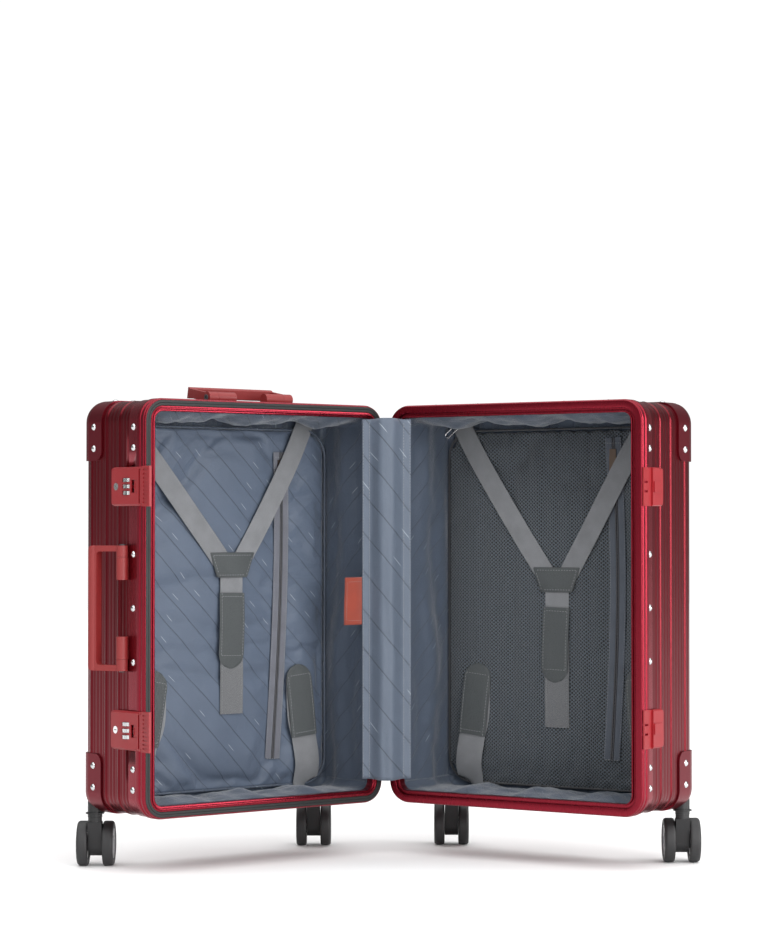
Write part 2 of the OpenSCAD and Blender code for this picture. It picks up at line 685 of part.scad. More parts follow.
module caster_wheels() for (s = [0, 1]) mirror([0, s, 0])
    translate([trail, wheel_gap / 2, axle_z]) rotate([-90, 0, 0]) difference() {
        rotate_extrude($fn = 64) polygon([[0, 0], [wheel_d / 2 - 1.5, 0], [wheel_d / 2, 1.5],
            [wheel_d / 2, wheel_w - 1.5], [wheel_d / 2 - 1.5, wheel_w], [20, wheel_w],
            [18.5, wheel_w - 1.2], [0, wheel_w - 1.2]]);
        translate([0, 0, -1]) cylinder(d = axle_d + 2 * fit, h = wheel_w - 0.8, $fn = 32);
    }

// Turns a caster that is given in the half's frame to the common rolling direction.
module back_caster(side) back_half() caster_at(side) rotate(roll_angle) children();
module front_caster(side) front_half() caster_at(side) mirror([0, 1, 0])
    rotate(roll_angle - open_angle) children();

module back_caster_bases() color("#1f2022") back_half() caster_bases();
module front_caster_bases() color("#1f2022") front_half() caster_bases();

module forks() color("#222325") children();
module axles() color(steel) children();
module wheels() color("#2e3033") children();
module lock_steel() color(steel) back_half() children();
module lock_paint() color(lock_red) back_half() children();

back_shell();
back_frame();
frame_seal();
back_corner_guards();
back_rivets();
back_lining();
back_divider();
back_straps();
back_zip_slider();
hinge_leaf_back();
hinge_pin();
hinge_cover();
lock_cases();
lock_pins();
handle_mounts();
handle_pins();
back_caster_bases();
side_handle();
top_handle();
trolley_housing();
trolley_outer_tubes();
trolley_middle_tubes();
trolley_inner_tubes();
trolley_grip();
trolley_button();
lock_steel() on_lock_wall(lock_heights[0]) dial(1);  // upper_dial_1
lock_steel() on_lock_wall(lock_heights[0]) dial(0);  // upper_dial_2
lock_steel() on_lock_wall(lock_heights[0]) dial(-1);  // upper_dial_3
lock_steel() on_lock_wall(lock_heights[1]) dial(1);  // lower_dial_1
lock_steel() on_lock_wall(lock_heights[1]) dial(0);  // lower_dial_2
lock_steel() on_lock_wall(lock_heights[1]) dial(-1);  // lower_dial_3
lock_paint() on_lock_wall(lock_heights[0]) lock_button();  // upper_lock_button
lock_paint() on_lock_wall(lock_heights[1]) lock_button();  // lower_lock_button
lock_steel() on_lock_wall(lock_heights[0]) key_barrel();  // upper_key_barrel
lock_steel() on_lock_wall(lock_heights[1]) key_barrel();  // lower_key_barrel
lock_paint() on_lock_wall(lock_heights[0]) latch();  // upper_latch
lock_paint() on_lock_wall(lock_heights[1]) latch();  // lower_latch
forks() back_caster(-1) caster_fork();  // caster_fork_back_lock
forks() back_caster(1) caster_fork();  // caster_fork_back_hinge
forks() front_caster(-1) caster_fork();  // caster_fork_front_lock
forks() front_caster(1) caster_fork();  // caster_fork_front_hinge
axles() back_caster(-1) caster_axle();  // caster_axle_back_lock
axles() back_caster(1) caster_axle();  // caster_axle_back_hinge
axles() front_caster(-1) caster_axle();  // caster_axle_front_lock
axles() front_caster(1) caster_axle();  // caster_axle_front_hinge
wheels() back_caster(-1) caster_wheels();  // caster_wheels_back_lock
wheels() back_caster(1) caster_wheels();  // caster_wheels_back_hinge
wheels() front_caster(-1) caster_wheels();  // caster_wheels_front_lock
wheels() front_caster(1) caster_wheels();  // caster_wheels_front_hinge
front_shell();
front_frame();
front_corner_guards();
front_rivets();
front_lining();
front_divider();
front_straps();
front_zip_slider();
hinge_leaf_front();
keepers();
front_caster_bases();
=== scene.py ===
"""Looks of a hard shell suitcase that stands open on its casters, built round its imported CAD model.

Lengths are in millimetres in the frame of one half of the case, as in the CAD source: X across the
width with the hinge wall at +X, Y from the opening plane to the face, Z up from the bottom wall.
A Half turns them into the model's frame in metres.
"""

import json
import math

import bmesh
import bpy
import numpy as np
from mathutils import Matrix, Vector, noise


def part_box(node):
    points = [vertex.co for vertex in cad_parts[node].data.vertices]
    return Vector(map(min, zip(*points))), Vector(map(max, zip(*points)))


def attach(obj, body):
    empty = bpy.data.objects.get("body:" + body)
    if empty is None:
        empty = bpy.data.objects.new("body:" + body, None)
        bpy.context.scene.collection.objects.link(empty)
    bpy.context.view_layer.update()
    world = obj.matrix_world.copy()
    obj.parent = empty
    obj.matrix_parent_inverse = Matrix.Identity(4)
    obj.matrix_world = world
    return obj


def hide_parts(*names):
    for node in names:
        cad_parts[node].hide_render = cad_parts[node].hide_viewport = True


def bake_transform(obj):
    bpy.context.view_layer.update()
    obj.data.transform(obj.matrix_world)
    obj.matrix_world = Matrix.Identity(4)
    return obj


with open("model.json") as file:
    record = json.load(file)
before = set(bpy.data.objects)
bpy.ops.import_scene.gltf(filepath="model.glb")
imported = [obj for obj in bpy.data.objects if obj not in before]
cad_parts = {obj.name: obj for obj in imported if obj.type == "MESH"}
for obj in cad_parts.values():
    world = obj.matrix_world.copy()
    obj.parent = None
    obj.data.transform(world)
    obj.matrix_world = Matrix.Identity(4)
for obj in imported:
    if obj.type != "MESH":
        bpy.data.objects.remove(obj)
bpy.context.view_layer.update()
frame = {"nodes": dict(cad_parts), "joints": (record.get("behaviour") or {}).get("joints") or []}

# ---- The case's dimensions, read from the frame where it holds them ----

MM = 0.001
BEAD_OUT = 2.6                  # how far a frame bead stands out of the wall
TONGUE = 2.5                    # how far the back frame's tongue stands out of the opening plane
PARTING = 1.0                   # between the two opening planes when the case is shut
HINGE_OUT = 7.5                 # how far the hinge pin stands out of the hinge wall
CORNER_R = 24.0                 # of the upright outline's corners
EDGE_R = 16.0                   # between the walls and the face


def box_of(name):
    """The low and high corners of a CAD node's box at rest."""
    return [np.array(corner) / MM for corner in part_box(name)]


frame_low, frame_high = box_of("back_frame")
CASE_W, CASE_H = (frame_high - frame_low)[[0, 2]] - 2 * BEAD_OUT
MID_Z = CASE_H / 2
AXIS_X, AXIS_Z = CASE_W / 2 - CORNER_R, CASE_H / 2 - CORNER_R
PIN = sum(box_of("hinge_pin")) / 2
OPEN_ANGLE = -next(j for j in frame["joints"] if j["name"] == "case_hinge")["range_deg"][0]
OPENING_Y = frame_low[1] + TONGUE
HALF_D = box_of("back_shell")[1][1] - OPENING_Y


class Half:
    """One half of the case: its body's name, and the matrix from its own frame to the model's."""

    def __init__(self, name, matrix, floor, yoke, beads, zip_x):
        self.name = name
        self.body = name + "_half"
        self.matrix = Matrix.Scale(MM, 4) @ matrix
        self.mirrored = matrix.determinant() < 0
        self.turned = -1.0 if self.mirrored else 1.0    # keeps the satin's slant the same way round
        self.floor = floor                  # depth of the lining's floor
        self.divider = floor - 9.0          # depth of the divider's front face
        self.yoke = yoke                    # [x, z] of the crossing of the straps
        self.beads = beads                  # depths of the three beads round the shell
        self.zip_x = zip_x                  # x of the divider's zip at a height


back_matrix = Matrix.Translation(((frame_low + frame_high)[0] / 2, OPENING_Y,
                                  frame_low[2] + BEAD_OUT))
front_matrix = (
    Matrix.Translation((PIN[0], PIN[1], frame_low[2] + BEAD_OUT))
    @ Matrix.Rotation(math.radians(OPEN_ANGLE), 4, "Z")
    @ Matrix.Translation((-CASE_W / 2 - HINGE_OUT, -PARTING / 2, 0))
    @ Matrix.Diagonal((1, -1, 1, 1))
)
BACK = Half("back", back_matrix, 103.8, (12.0, 297.0), (56.0, 83.0, 114.0),
            lambda z: 79.0 + 14.0 * math.sin((z - 51) / 375 * math.pi * 0.62))
FRONT = Half("front", front_matrix, 120.8, (0.0, 278.0), (49.0, 75.0, 110.0),
             lambda z: -76.0 - 9.0 * math.sin((z - 54) / 394 * math.pi * 0.9))


def wave(x, *terms):
    """A sum of sines given as (amplitude, wavelength, phase)."""
    return sum(a * math.sin(2 * math.pi * x / length + phase) for a, length, phase in terms)


def rough_noise(x, y, z, size):
    return noise.noise(Vector((x / size, y / size, z / size)))


def clamp(x, low=0.0, high=1.0):
    return max(low, min(high, x))


def smooth(x):
    x = clamp(x)
    return x * x * (3 - 2 * x)


# ---- Materials ----


class Graph:
    """A material's node tree, with short calls for the nodes that the materials share."""

    def __init__(self, name, color, roughness, **constants):
        self.material = bpy.data.materials.new(name)
        self.material.use_nodes = True
        self.tree = self.material.node_tree
        self.shader = self.tree.nodes["Principled BSDF"]
        self.shader.inputs["Base Color"].default_value = (*color, 1)
        self.shader.inputs["Roughness"].default_value = roughness
        self.color = color
        for key, value in constants.items():
            self.shader.inputs[key.replace("_", " ")].default_value = value

    def add(self, kind, settings=None, **inputs):
        """A node with its settings, and its inputs by name, each a number, a colour or a socket."""
        made = self.tree.nodes.new("ShaderNode" + kind)
        for key, value in (settings or {}).items():
            setattr(made, key, value)
        for key, value in inputs.items():
            self.feed(made.inputs[key.replace("_", " ")], value)
        return made

    def feed(self, socket, value):
        if isinstance(value, bpy.types.NodeSocket):
            self.tree.links.new(value, socket)
        else:
            socket.default_value = value

    def math(self, operation, a, b=0.0, c=0.0):
        made = self.add("Math", {"operation": operation})
        for socket, value in zip(made.inputs, (a, b, c)):
            self.feed(socket, value)
        return made.outputs[0]

    def times(self, a, b):
        return self.math("MULTIPLY", a, b)

    def plus(self, a, b):
        return self.math("ADD", a, b)

    def minus(self, a, b):
        return self.math("SUBTRACT", a, b)

    def pattern(self):
        """The fabric's own coordinates in millimetres, stored on the mesh."""
        return self.add("Attribute", {"attribute_name": "pattern"}).outputs["Vector"]

    def pattern_xy(self):
        """The fabric's coordinates across and along it, as two sockets."""
        return self.add("SeparateXYZ", Vector=self.pattern()).outputs[:2]

    def place(self, scale=(1, 1, 1)):
        """Coordinates in metres in the model's frame, stretched by scale."""
        coordinates = self.add("TexCoord").outputs["Object"]
        return self.add("Mapping", Vector=coordinates, Scale=scale).outputs[0]

    def noise(self, vector, scale, detail=3.0):
        return self.add("TexNoise", Vector=vector, Scale=scale, Detail=detail).outputs["Fac"]

    def ramp(self, value, low, high, out_low=0.0, out_high=1.0):
        return self.add("MapRange", {"interpolation_type": "SMOOTHSTEP"}, Value=value, From_Min=low,
                        From_Max=high, To_Min=out_low, To_Max=out_high).outputs[0]

    def mix(self, share, a, b):
        made = self.add("Mix", {"data_type": "RGBA"})
        for index, value in ((0, share), (6, a), (7, b)):
            self.feed(made.inputs[index], (*value, 1) if isinstance(value, tuple) else value)
        return made.outputs[2]

    def paint(self, color):
        self.feed(self.shader.inputs["Base Color"], color)
        return self

    def vary_color(self, value, amount):
        """Shades the base colour by a value from 0 to 1."""
        dark = tuple(c * (1 - amount) for c in self.color)
        light = tuple(min(1.0, c * (1 + amount)) for c in self.color)
        return self.paint(self.mix(value, dark, light))

    def vary_roughness(self, value, low, high):
        self.feed(self.shader.inputs["Roughness"], self.ramp(value, 0.25, 0.75, low, high))
        return self

    def bump(self, height, distance, strength=1.0):
        """Raises the surface by height times a distance in metres."""
        made = self.add("Bump", Height=height, Distance=distance, Strength=strength)
        previous = self.shader.inputs["Normal"].links
        if previous:
            self.tree.links.new(previous[0].from_socket, made.inputs["Normal"])
        self.tree.links.new(made.outputs[0], self.shader.inputs["Normal"])
        return self


def anodised(name, color, roughness):
    """Anodised aluminium: a satin metal under a thin clear oxide, with a very fine grain."""
    g = Graph(name, color, roughness, Metallic=0.9, Coat_Weight=0.12, Coat_Roughness=0.2)
    grain = g.noise(g.place((1, 1, 0.04)), 900, 2)
    broad = g.noise(g.place(), 14, 4)
    g.vary_color(broad, 0.1)
    g.vary_roughness(grain, roughness - 0.015, roughness + 0.02)
    g.bump(grain, 0.000002)
    return g.material


def moulded(name, color, roughness, grain=0.00003, **constants):
    """Moulded or painted plastic with a fine orange-peel surface."""
    g = Graph(name, color, roughness, **constants)
    fine = g.noise(g.place(), 700, 2)
    broad = g.noise(g.place(), 25, 4)
    g.vary_color(broad, 0.08)
    g.vary_roughness(broad, roughness - 0.05, roughness + 0.08)
    g.bump(fine, grain)
    return g.material


def polished(name, color, roughness):
    """Bright metal with faint scratches."""
    g = Graph(name, color, roughness, Metallic=1.0)
    scratches = g.noise(g.place((1, 1, 0.08)), 500, 3)
    g.vary_roughness(scratches, roughness - 0.03, roughness + 0.1)
    g.vary_color(g.noise(g.place(), 60), 0.05)
    return g.material


def diagonal(g, spacing):
    """Coordinates across and along the diagonal weave lines."""
    x, y = g.pattern_xy()
    slope = math.sqrt(0.5) / spacing
    return g.times(g.plus(x, y), slope), g.times(g.minus(x, y), slope)


def satin(name, color, spacing=25.0):
    """Lining satin with fine diagonal lines woven in, and short dashes between them painted light grey
    as painted glints.
    """
    g = Graph(name, color, 0.46, Sheen_Weight=0.35, Sheen_Roughness=0.35)
    g.shader.inputs["Specular IOR Level"].default_value = 0.4
    across, along = diagonal(g, spacing)
    near_line = g.math("PINGPONG", across, 0.5)
    line = g.ramp(near_line, 0.012, 0.034, 1.0, 0.0)
    row = g.math("FLOOR", across)
    cell = g.plus(g.times(along, 0.8), g.times(row, 0.37))
    draw = g.add("TexWhiteNoise", {"noise_dimensions": "2D"},
                 Vector=g.add("CombineXYZ", X=g.math("FLOOR", cell), Y=row).outputs[0]).outputs["Value"]
    beside = g.math("ABSOLUTE", g.minus(g.math("FRACT", across), 0.30))
    dash = g.times(g.ramp(beside, 0.006, 0.018, 1.0, 0.0), g.ramp(draw, 0.70, 0.72))
    middle = g.math("ABSOLUTE", g.minus(g.math("FRACT", cell), 0.5))
    dash = g.times(dash, g.ramp(middle, 0.10, 0.24, 1.0, 0.0))
    broad = g.noise(g.pattern(), 0.03, 3)
    base = g.mix(broad, tuple(c * 0.9 for c in color), tuple(c * 1.1 for c in color))
    lined = g.mix(g.times(line, 0.62), base, tuple(c * 0.36 for c in color))
    # Painted glints: the short dashes are painted light grey.
    g.paint(g.mix(g.times(dash, 0.6), lined, (0.42, 0.46, 0.50)))
    x, y = g.pattern_xy()
    weave = g.times(g.math("SINE", g.times(x, 8.0)), g.math("SINE", g.times(y, 8.0)))
    g.bump(weave, 0.00004)
    g.bump(line, -0.00025)
    g.bump(g.noise(g.pattern(), 0.09, 4), 0.0006)
    return g.material


def spacer_mesh(name, color, pitch=(5.2, 4.5), hole=1.35):
    """Knitted spacer mesh: rows of holes, each row half a step aside from the last."""
    g = Graph(name, color, 0.8, Sheen_Weight=0.3)
    parts = g.pattern_xy()
    nearest = None
    for shift in (0.0, 0.5):
        offsets = []
        for part, step in zip(parts, pitch):
            turn = g.math("FRACT", g.plus(g.math("DIVIDE", part, step), shift))
            offset = g.times(g.minus(turn, 0.5), step)
            offsets.append(g.math("POWER", g.math("ABSOLUTE", offset), 2.0))
        distance = g.math("SQRT", g.plus(*offsets))
        nearest = distance if nearest is None else g.math("MINIMUM", nearest, distance)
    solid = g.ramp(nearest, hole * 0.85, hole * 1.15)
    fibre = g.noise(g.pattern(), 1.6, 3)
    yarn = g.mix(fibre, tuple(c * 0.75 for c in color), tuple(c * 1.25 for c in color))
    # Painted shade: the holes are painted near-black, standing in for the shade down in the open cells.
    g.paint(g.mix(solid, (0.006, 0.007, 0.008), yarn))
    g.bump(solid, 0.0009)
    g.bump(fibre, 0.0002)
    return g.material


def woven(name, color, ribs=1.1, roughness=0.75):
    """Webbing or tape: ribs along its length and a fine twill across them."""
    g = Graph(name, color, roughness, Sheen_Weight=0.25)
    x, y = g.pattern_xy()
    rib = g.math("SINE", g.times(x, 2 * math.pi / ribs))
    twill = g.math("SINE", g.plus(g.times(x, 5.2), g.times(y, 4.4)))
    weave = g.plus(g.times(rib, 0.4), g.times(twill, 0.6))
    blotch = g.noise(g.pattern(), 0.05, 4)
    # Painted shade: the colour follows the weave's height, darker in its hollows, and also varies in
    # random blotches.
    g.vary_color(g.plus(g.times(weave, 0.16), blotch), 0.22)
    g.bump(weave, 0.00018)
    return g.material


def leather(name, color):
    """Grained imitation leather, with painted shade in the crevices between the grain and a shine that
    varies in patches.
    """
    g = Graph(name, color, 0.5)
    cells = g.add("TexVoronoi", {"feature": "DISTANCE_TO_EDGE"}, Vector=g.pattern(), Scale=1.1)
    raised = g.ramp(cells.outputs[0], 0.0, 0.22)
    wear = g.noise(g.pattern(), 0.06, 4)
    # Painted shade: the crevices between the grain are painted darker; the colour also varies at random
    # in patches.
    g.vary_color(g.times(raised, wear), 0.3)
    g.vary_roughness(wear, 0.42, 0.6)
    g.bump(raised, 0.00022)
    return g.material


def fuzzy(name, color):
    """The loop side of hook-and-loop tape."""
    g = Graph(name, color, 0.95, Sheen_Weight=0.5)
    loops = g.noise(g.pattern(), 1.4, 5)
    # Painted shade: the colour follows the loops' height, darker down between them.
    g.vary_color(g.ramp(loops, 0.3, 0.7), 0.45)
    g.bump(loops, 0.0012)
    return g.material


def thread(name, color):
    g = Graph(name, color, 0.7)
    twist = g.noise(g.place(), 1800, 1)
    g.vary_color(twist, 0.15)
    return g.material


SHELL_RED = anodised("shell_red", (0.130, 0.003, 0.009), 0.30)
GUARD_RED = anodised("guard_red", (0.150, 0.007, 0.016), 0.36)
FRAME_RED = anodised("frame_red", (0.215, 0.008, 0.020), 0.28)
LOCK_RED = moulded("lock_red", (0.230, 0.003, 0.007), 0.40, Coat_Weight=0.08, Coat_Roughness=0.3)
HANDLE_RED = moulded("handle_red", (0.200, 0.014, 0.014), 0.5, 0.00005)
RUBBER = moulded("seal_rubber", (0.005, 0.006, 0.006), 0.6, 0.00006)
STEEL = polished("rivet_steel", (0.56, 0.57, 0.58), 0.16)
CHROME = polished("chrome", (0.80, 0.80, 0.80), 0.08)
TUBE_METAL = polished("trolley_metal", (0.60, 0.61, 0.62), 0.26)
BLACK_PLASTIC = moulded("black_plastic", (0.006, 0.006, 0.007), 0.40, 0.00006)
SLOT_PLASTIC = moulded("dark_plastic", (0.05, 0.05, 0.055), 0.5)
WHEEL_RUBBER = moulded("wheel_rubber", (0.016, 0.016, 0.017), 0.55, 0.00012)
HUB_GREY = moulded("hub_grey", (0.20, 0.20, 0.21), 0.42)
# The lining's satin is painted darker than the divider's as painted shade, standing in for the shade on
# the lining walls.
SATIN = satin("lining_satin", (0.062, 0.080, 0.112))
DARK_SATIN = satin("divider_satin", (0.080, 0.104, 0.148))
COVER_SATIN = satin("cover_satin", (0.086, 0.108, 0.145), 34.0)
MESH = spacer_mesh("spacer_mesh", (0.066, 0.084, 0.104))
WEBBING = woven("webbing", (0.175, 0.181, 0.192))
TAPE = woven("zip_tape", (0.118, 0.124, 0.150), 0.8)
DARK_TAPE = woven("dark_zip_tape", (0.062, 0.074, 0.096), 0.8)
PIPING = woven("piping", (0.020, 0.022, 0.026), 0.8)
LEATHER = leather("leather", (0.078, 0.087, 0.090))
LOOPS = fuzzy("hook_and_loop", (0.110, 0.115, 0.122))
STITCH = thread("stitch", (0.24, 0.25, 0.26))
COIL = moulded("zip_coil", (0.045, 0.046, 0.052), 0.4)
BRONZE = polished("zip_bronze", (0.14, 0.105, 0.085), 0.32)
ORANGE = woven("orange_tag", (0.235, 0.024, 0.006), 0.7, 0.6)


# ---- Meshes ----


def quads(rows, cols, wrap_rows=False, wrap_cols=False):
    """Faces over a grid of points numbered row by row."""
    i, j = np.meshgrid(np.arange(rows if wrap_rows else rows - 1),
                       np.arange(cols if wrap_cols else cols - 1), indexing="ij")
    i2, j2 = (i + 1) % rows, (j + 1) % cols
    return np.stack([i * cols + j, i2 * cols + j, i2 * cols + j2, i * cols + j2], -1).reshape(-1, 4)


def circle(steps):
    """Even angles right round a circle."""
    return np.linspace(0, 2 * math.pi, steps, endpoint=False)


class Soup:
    """Points, faces, and the fabric coordinates of the points, gathered from several grids."""

    def __init__(self):
        self.points, self.faces, self.pattern, self.count = [], [], [], 0

    def add(self, points, faces, pattern=None):
        points = np.asarray(points, float).reshape(-1, 3)
        pattern = points if pattern is None else np.asarray(pattern, float).reshape(-1, 3)
        self.points.append(points)
        self.pattern.append(pattern)
        self.faces += [tuple(int(k) + self.count for k in face) for face in faces]
        self.count += len(points)
        return self

    def grid(self, points, wrap_rows=False, wrap_cols=False, pattern=None):
        points = np.asarray(points, float)
        return self.add(points, quads(*points.shape[:2], wrap_rows, wrap_cols), pattern)

    def tube(self, points, pattern=None):
        """A closed tube: rings of points, each ring wrapped, with its two ends capped."""
        points = np.asarray(points, float)
        rows, cols = points.shape[:2]
        start = self.count
        self.grid(points, wrap_cols=True, pattern=pattern)
        self.faces.append(tuple(start + j for j in range(cols)))
        self.faces.append(tuple(start + (rows - 1) * cols + j for j in reversed(range(cols))))
        return self


def store_pattern(mesh, pattern):
    """Stores the fabric coordinates on a mesh, where the materials read them."""
    stored = mesh.attributes.get("pattern") or mesh.attributes.new("pattern", "FLOAT_VECTOR", "POINT")
    stored.data.foreach_set("vector", pattern.astype(np.float32).ravel())


def add_object(name, data):
    made = bpy.data.objects.new(name, data)
    bpy.context.scene.collection.objects.link(made)
    return made


def object_from(name, soup, half, material, weld=0.02, angle=40):
    """An object in the model's frame, with shading smooth up to an angle."""
    points, pattern = np.concatenate(soup.points), np.concatenate(soup.pattern)
    mesh = bpy.data.meshes.new(name)
    mesh.from_pydata(points.tolist(), [], soup.faces)
    store_pattern(mesh, pattern)
    edit = bmesh.new()
    edit.from_mesh(mesh)
    if weld:
        bmesh.ops.remove_doubles(edit, verts=edit.verts, dist=weld)
    bmesh.ops.recalc_face_normals(edit, faces=edit.faces)
    edit.to_mesh(mesh)
    edit.free()
    mesh.transform(half.matrix if half else Matrix.Scale(MM, 4))
    if half and half.mirrored:
        mesh.flip_normals()
    mesh.materials.append(material)
    mesh.shade_smooth()
    mesh.set_sharp_from_angle(angle=math.radians(angle))
    return add_object(name, mesh)


def finish(made, body, slot, *replaced):
    """Fixes a piece to its body, and hides the CAD nodes that it stands for. The slot is not used."""
    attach(made, body)
    if replaced:
        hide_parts(*replaced)
    return made


def piece(name, soup, half, material, slot, *replaced, **looks):
    """A finished piece of one half, with no modifiers of its own."""
    return finish(object_from(name, soup, half, material, **looks), half.body, slot, *replaced)


def solidify(made, thickness, offset=-1.0):
    modifier = made.modifiers.new("thickness", "SOLIDIFY")
    modifier.thickness = thickness * MM
    modifier.offset = offset
    modifier.use_even_offset = True
    return made


def outline(xs, zs, arc_steps=14):
    """Samples right round the case, as [axis x, axis z, angle, distance round it] in rows.

    The axis point runs round the rectangle of the corner centres. xs and zs are where the straight
    walls are sampled.
    """
    rows, distance = [], 0.0
    walls = [([(AXIS_X, z) for z in zs], 0), ([(x, AXIS_Z) for x in reversed(xs)], 90),
             ([(-AXIS_X, z) for z in reversed(zs)], 180), ([(x, -AXIS_Z) for x in xs], 270)]
    for points, angle in walls:
        for k, (x, z) in enumerate(points):
            if k:
                distance += math.dist((x, z), points[k - 1])
            rows.append((x, z, math.radians(angle), distance))
        for k in range(1, arc_steps):
            turn = math.radians(90 * k / arc_steps)
            rows.append((*points[-1], math.radians(angle) + turn, distance + CORNER_R * turn))
        distance += CORNER_R * math.pi / 2
    return np.array(rows)


def sweep(ring, profile):
    """Points of a profile, given as [distance outside the wall, depth], carried round the case."""
    profile = np.asarray(profile, float)
    radius = CORNER_R + profile[:, 0]
    x = ring[:, None, 0] + radius * np.cos(ring[:, None, 2])
    z = ring[:, None, 1] + radius * np.sin(ring[:, None, 2]) + MID_Z
    return np.stack([x, np.broadcast_to(profile[:, 1], x.shape), z], -1)


def fillet(corners, steps=3):
    """Rounds a closed outline's corners, each given as (x, y, radius)."""
    out, count = [], len(corners)
    for k, (x, y, radius) in enumerate(corners):
        here = np.array([x, y])
        to_last, to_next = (np.array(corners[(k + d) % count][:2]) - here for d in (-1, 1))
        reach = min(radius, 0.45 * np.linalg.norm(to_last), 0.45 * np.linalg.norm(to_next))
        if reach < 0.05:
            out.append(here)
            continue
        a = here + to_last / np.linalg.norm(to_last) * reach
        b = here + to_next / np.linalg.norm(to_next) * reach
        for t in np.linspace(0, 1, steps + 1):
            out.append((1 - t) ** 2 * a + 2 * t * (1 - t) * here + t ** 2 * b)
    return np.array(out)


# ---- Shells, frames and seal ----

FACE_BEADS = 6                  # beads on the face on either side of the middle one
FACE_BEAD_HALF = 3.6            # half a face bead's width
SHEET = 1.5
BEAD_RISE = 1.2
FLUTE_PITCH = 7.0
FLUTE_RISE = 0.38
LOCK_Z = 143.7                  # height of each lock above and below the middle
DIAL_WINDOWS = [(side * LOCK_Z - 15, side * LOCK_Z + 15) for side in (1, -1)]
DIAL_DEPTHS = (20.6, 40.6)
housing_low, housing_high = box_of("trolley_housing")
HOUSING_X = (housing_high - housing_low)[0] / 2
HOUSING_V = (housing_low[1] - OPENING_Y, housing_low[1] - OPENING_Y + 18.8)


def bump_shape(offset, half_width):
    return np.clip(1 - (offset / half_width) ** 2, 0, 1) ** 0.8


def wall_relief(v, beads):
    """Height of the ribs that run round the walls at a depth."""
    fine = FLUTE_RISE * np.abs(np.sin(math.pi * (v - beads[0]) / FLUTE_PITCH)) ** 0.7
    for bead in beads:
        fine = fine * np.clip((np.abs(v - bead) - 2.5) / 1.5, 0, 1)
    fine = fine * np.clip((v - 36) / 2, 0, 1) * np.clip((HALF_D - EDGE_R + 3 - v) / 3, 0, 1)
    return fine + sum(BEAD_RISE * bump_shape(v - bead, 3.0) for bead in beads)


def shell(half):
    """The ribbed aluminium sheet: beads and flutes round the walls, upright beads on the face."""
    centres = np.arange(-FACE_BEADS, FACE_BEADS + 1) * (AXIS_X - 5) / FACE_BEADS
    steps = np.linspace(-FACE_BEAD_HALF, FACE_BEAD_HALF, 7)
    bead_xs = {round(c + s, 3) for c in centres for s in steps}
    xs = sorted({-AXIS_X, AXIS_X, -HOUSING_X, HOUSING_X} | bead_xs)
    ends = [AXIS_Z - k for k in (0, 4, 6, 8, 10, 12, 14)]
    windows = [z for pair in DIAL_WINDOWS for z in pair]
    zs = sorted({*ends, *(-z for z in ends), *windows, *(-30.0 * k for k in (-4, -3, -1, 0, 1, 3, 4))})
    ring = outline(xs, zs)
    depths = np.array(sorted({6.0, *DIAL_DEPTHS, HOUSING_V[0], *np.arange(7.0, HALF_D - EDGE_R, 0.9)}))
    walls = np.stack([wall_relief(depths, half.beads), depths], -1)
    bend = np.radians(np.linspace(0, 90, 13))
    edge = np.stack([EDGE_R * np.cos(bend) - EDGE_R, HALF_D - EDGE_R + EDGE_R * np.sin(bend)], -1)
    edge[:, 0] += wall_relief(edge[:, 1], half.beads) * np.cos(bend)
    face = [[-EDGE_R - 4, HALF_D], [-CORNER_R, HALF_D]]
    profile = np.concatenate([walls, edge, face])
    points = sweep(ring, profile)
    faces = quads(len(ring), len(profile), wrap_rows=True)
    if half is BACK:
        faces = faces[~openings(ring, profile, faces)]
    soup = Soup().add(points, faces)
    x, z = np.meshgrid(xs, zs, indexing="ij")
    rise = sum(bump_shape(x - c, FACE_BEAD_HALF) for c in centres)
    rise *= np.clip((AXIS_Z - 4 - np.abs(z)) / 9, 0, 1) ** 0.5
    soup.grid(np.stack([x, HALF_D + BEAD_RISE * rise, z + MID_Z], -1))
    made = object_from(half.name + "_ribbed_shell", soup, half, SHELL_RED, angle=50)
    solidify(made, SHEET)
    return finish(made, half.body, "shell_red", half.name + "_shell")


def openings(ring, profile, faces):
    """True for the faces of the back shell that lie in a dial window or in the trolley's opening."""
    row, column = faces // len(profile), faces % len(profile)
    angle = np.degrees(ring[row, 2])
    v = profile[column, 1]
    x, z = ring[row, 0], ring[row, 1]
    window = np.zeros(len(faces), bool)
    for low, high in DIAL_WINDOWS:
        here = (angle == 180) & (z > low - 0.1) & (z < high + 0.1)
        here &= (v > DIAL_DEPTHS[0] - 0.1) & (v < DIAL_DEPTHS[1] + 0.1)
        window |= here.all(1)
    top = (angle == 90) & (np.abs(x) < HOUSING_X + 0.1)
    top &= (v > HOUSING_V[0] - 0.1) & (v < HOUSING_V[1] + 0.6)
    return window | top.all(1)


def straight(step=30.0):
    """Even samples of both straight walls."""
    return (np.linspace(-AXIS_X, AXIS_X, max(2, int(2 * AXIS_X / step))).tolist(),
            np.linspace(-AXIS_Z, AXIS_Z, max(2, int(2 * AXIS_Z / step))).tolist())


def ring_piece(name, half, profile, material, slot, *replaced):
    ring = outline(*straight(), arc_steps=20)
    soup = Soup().grid(sweep(ring, profile), wrap_rows=True, wrap_cols=True)
    return piece(name, soup, half, material, slot, *replaced, angle=35)


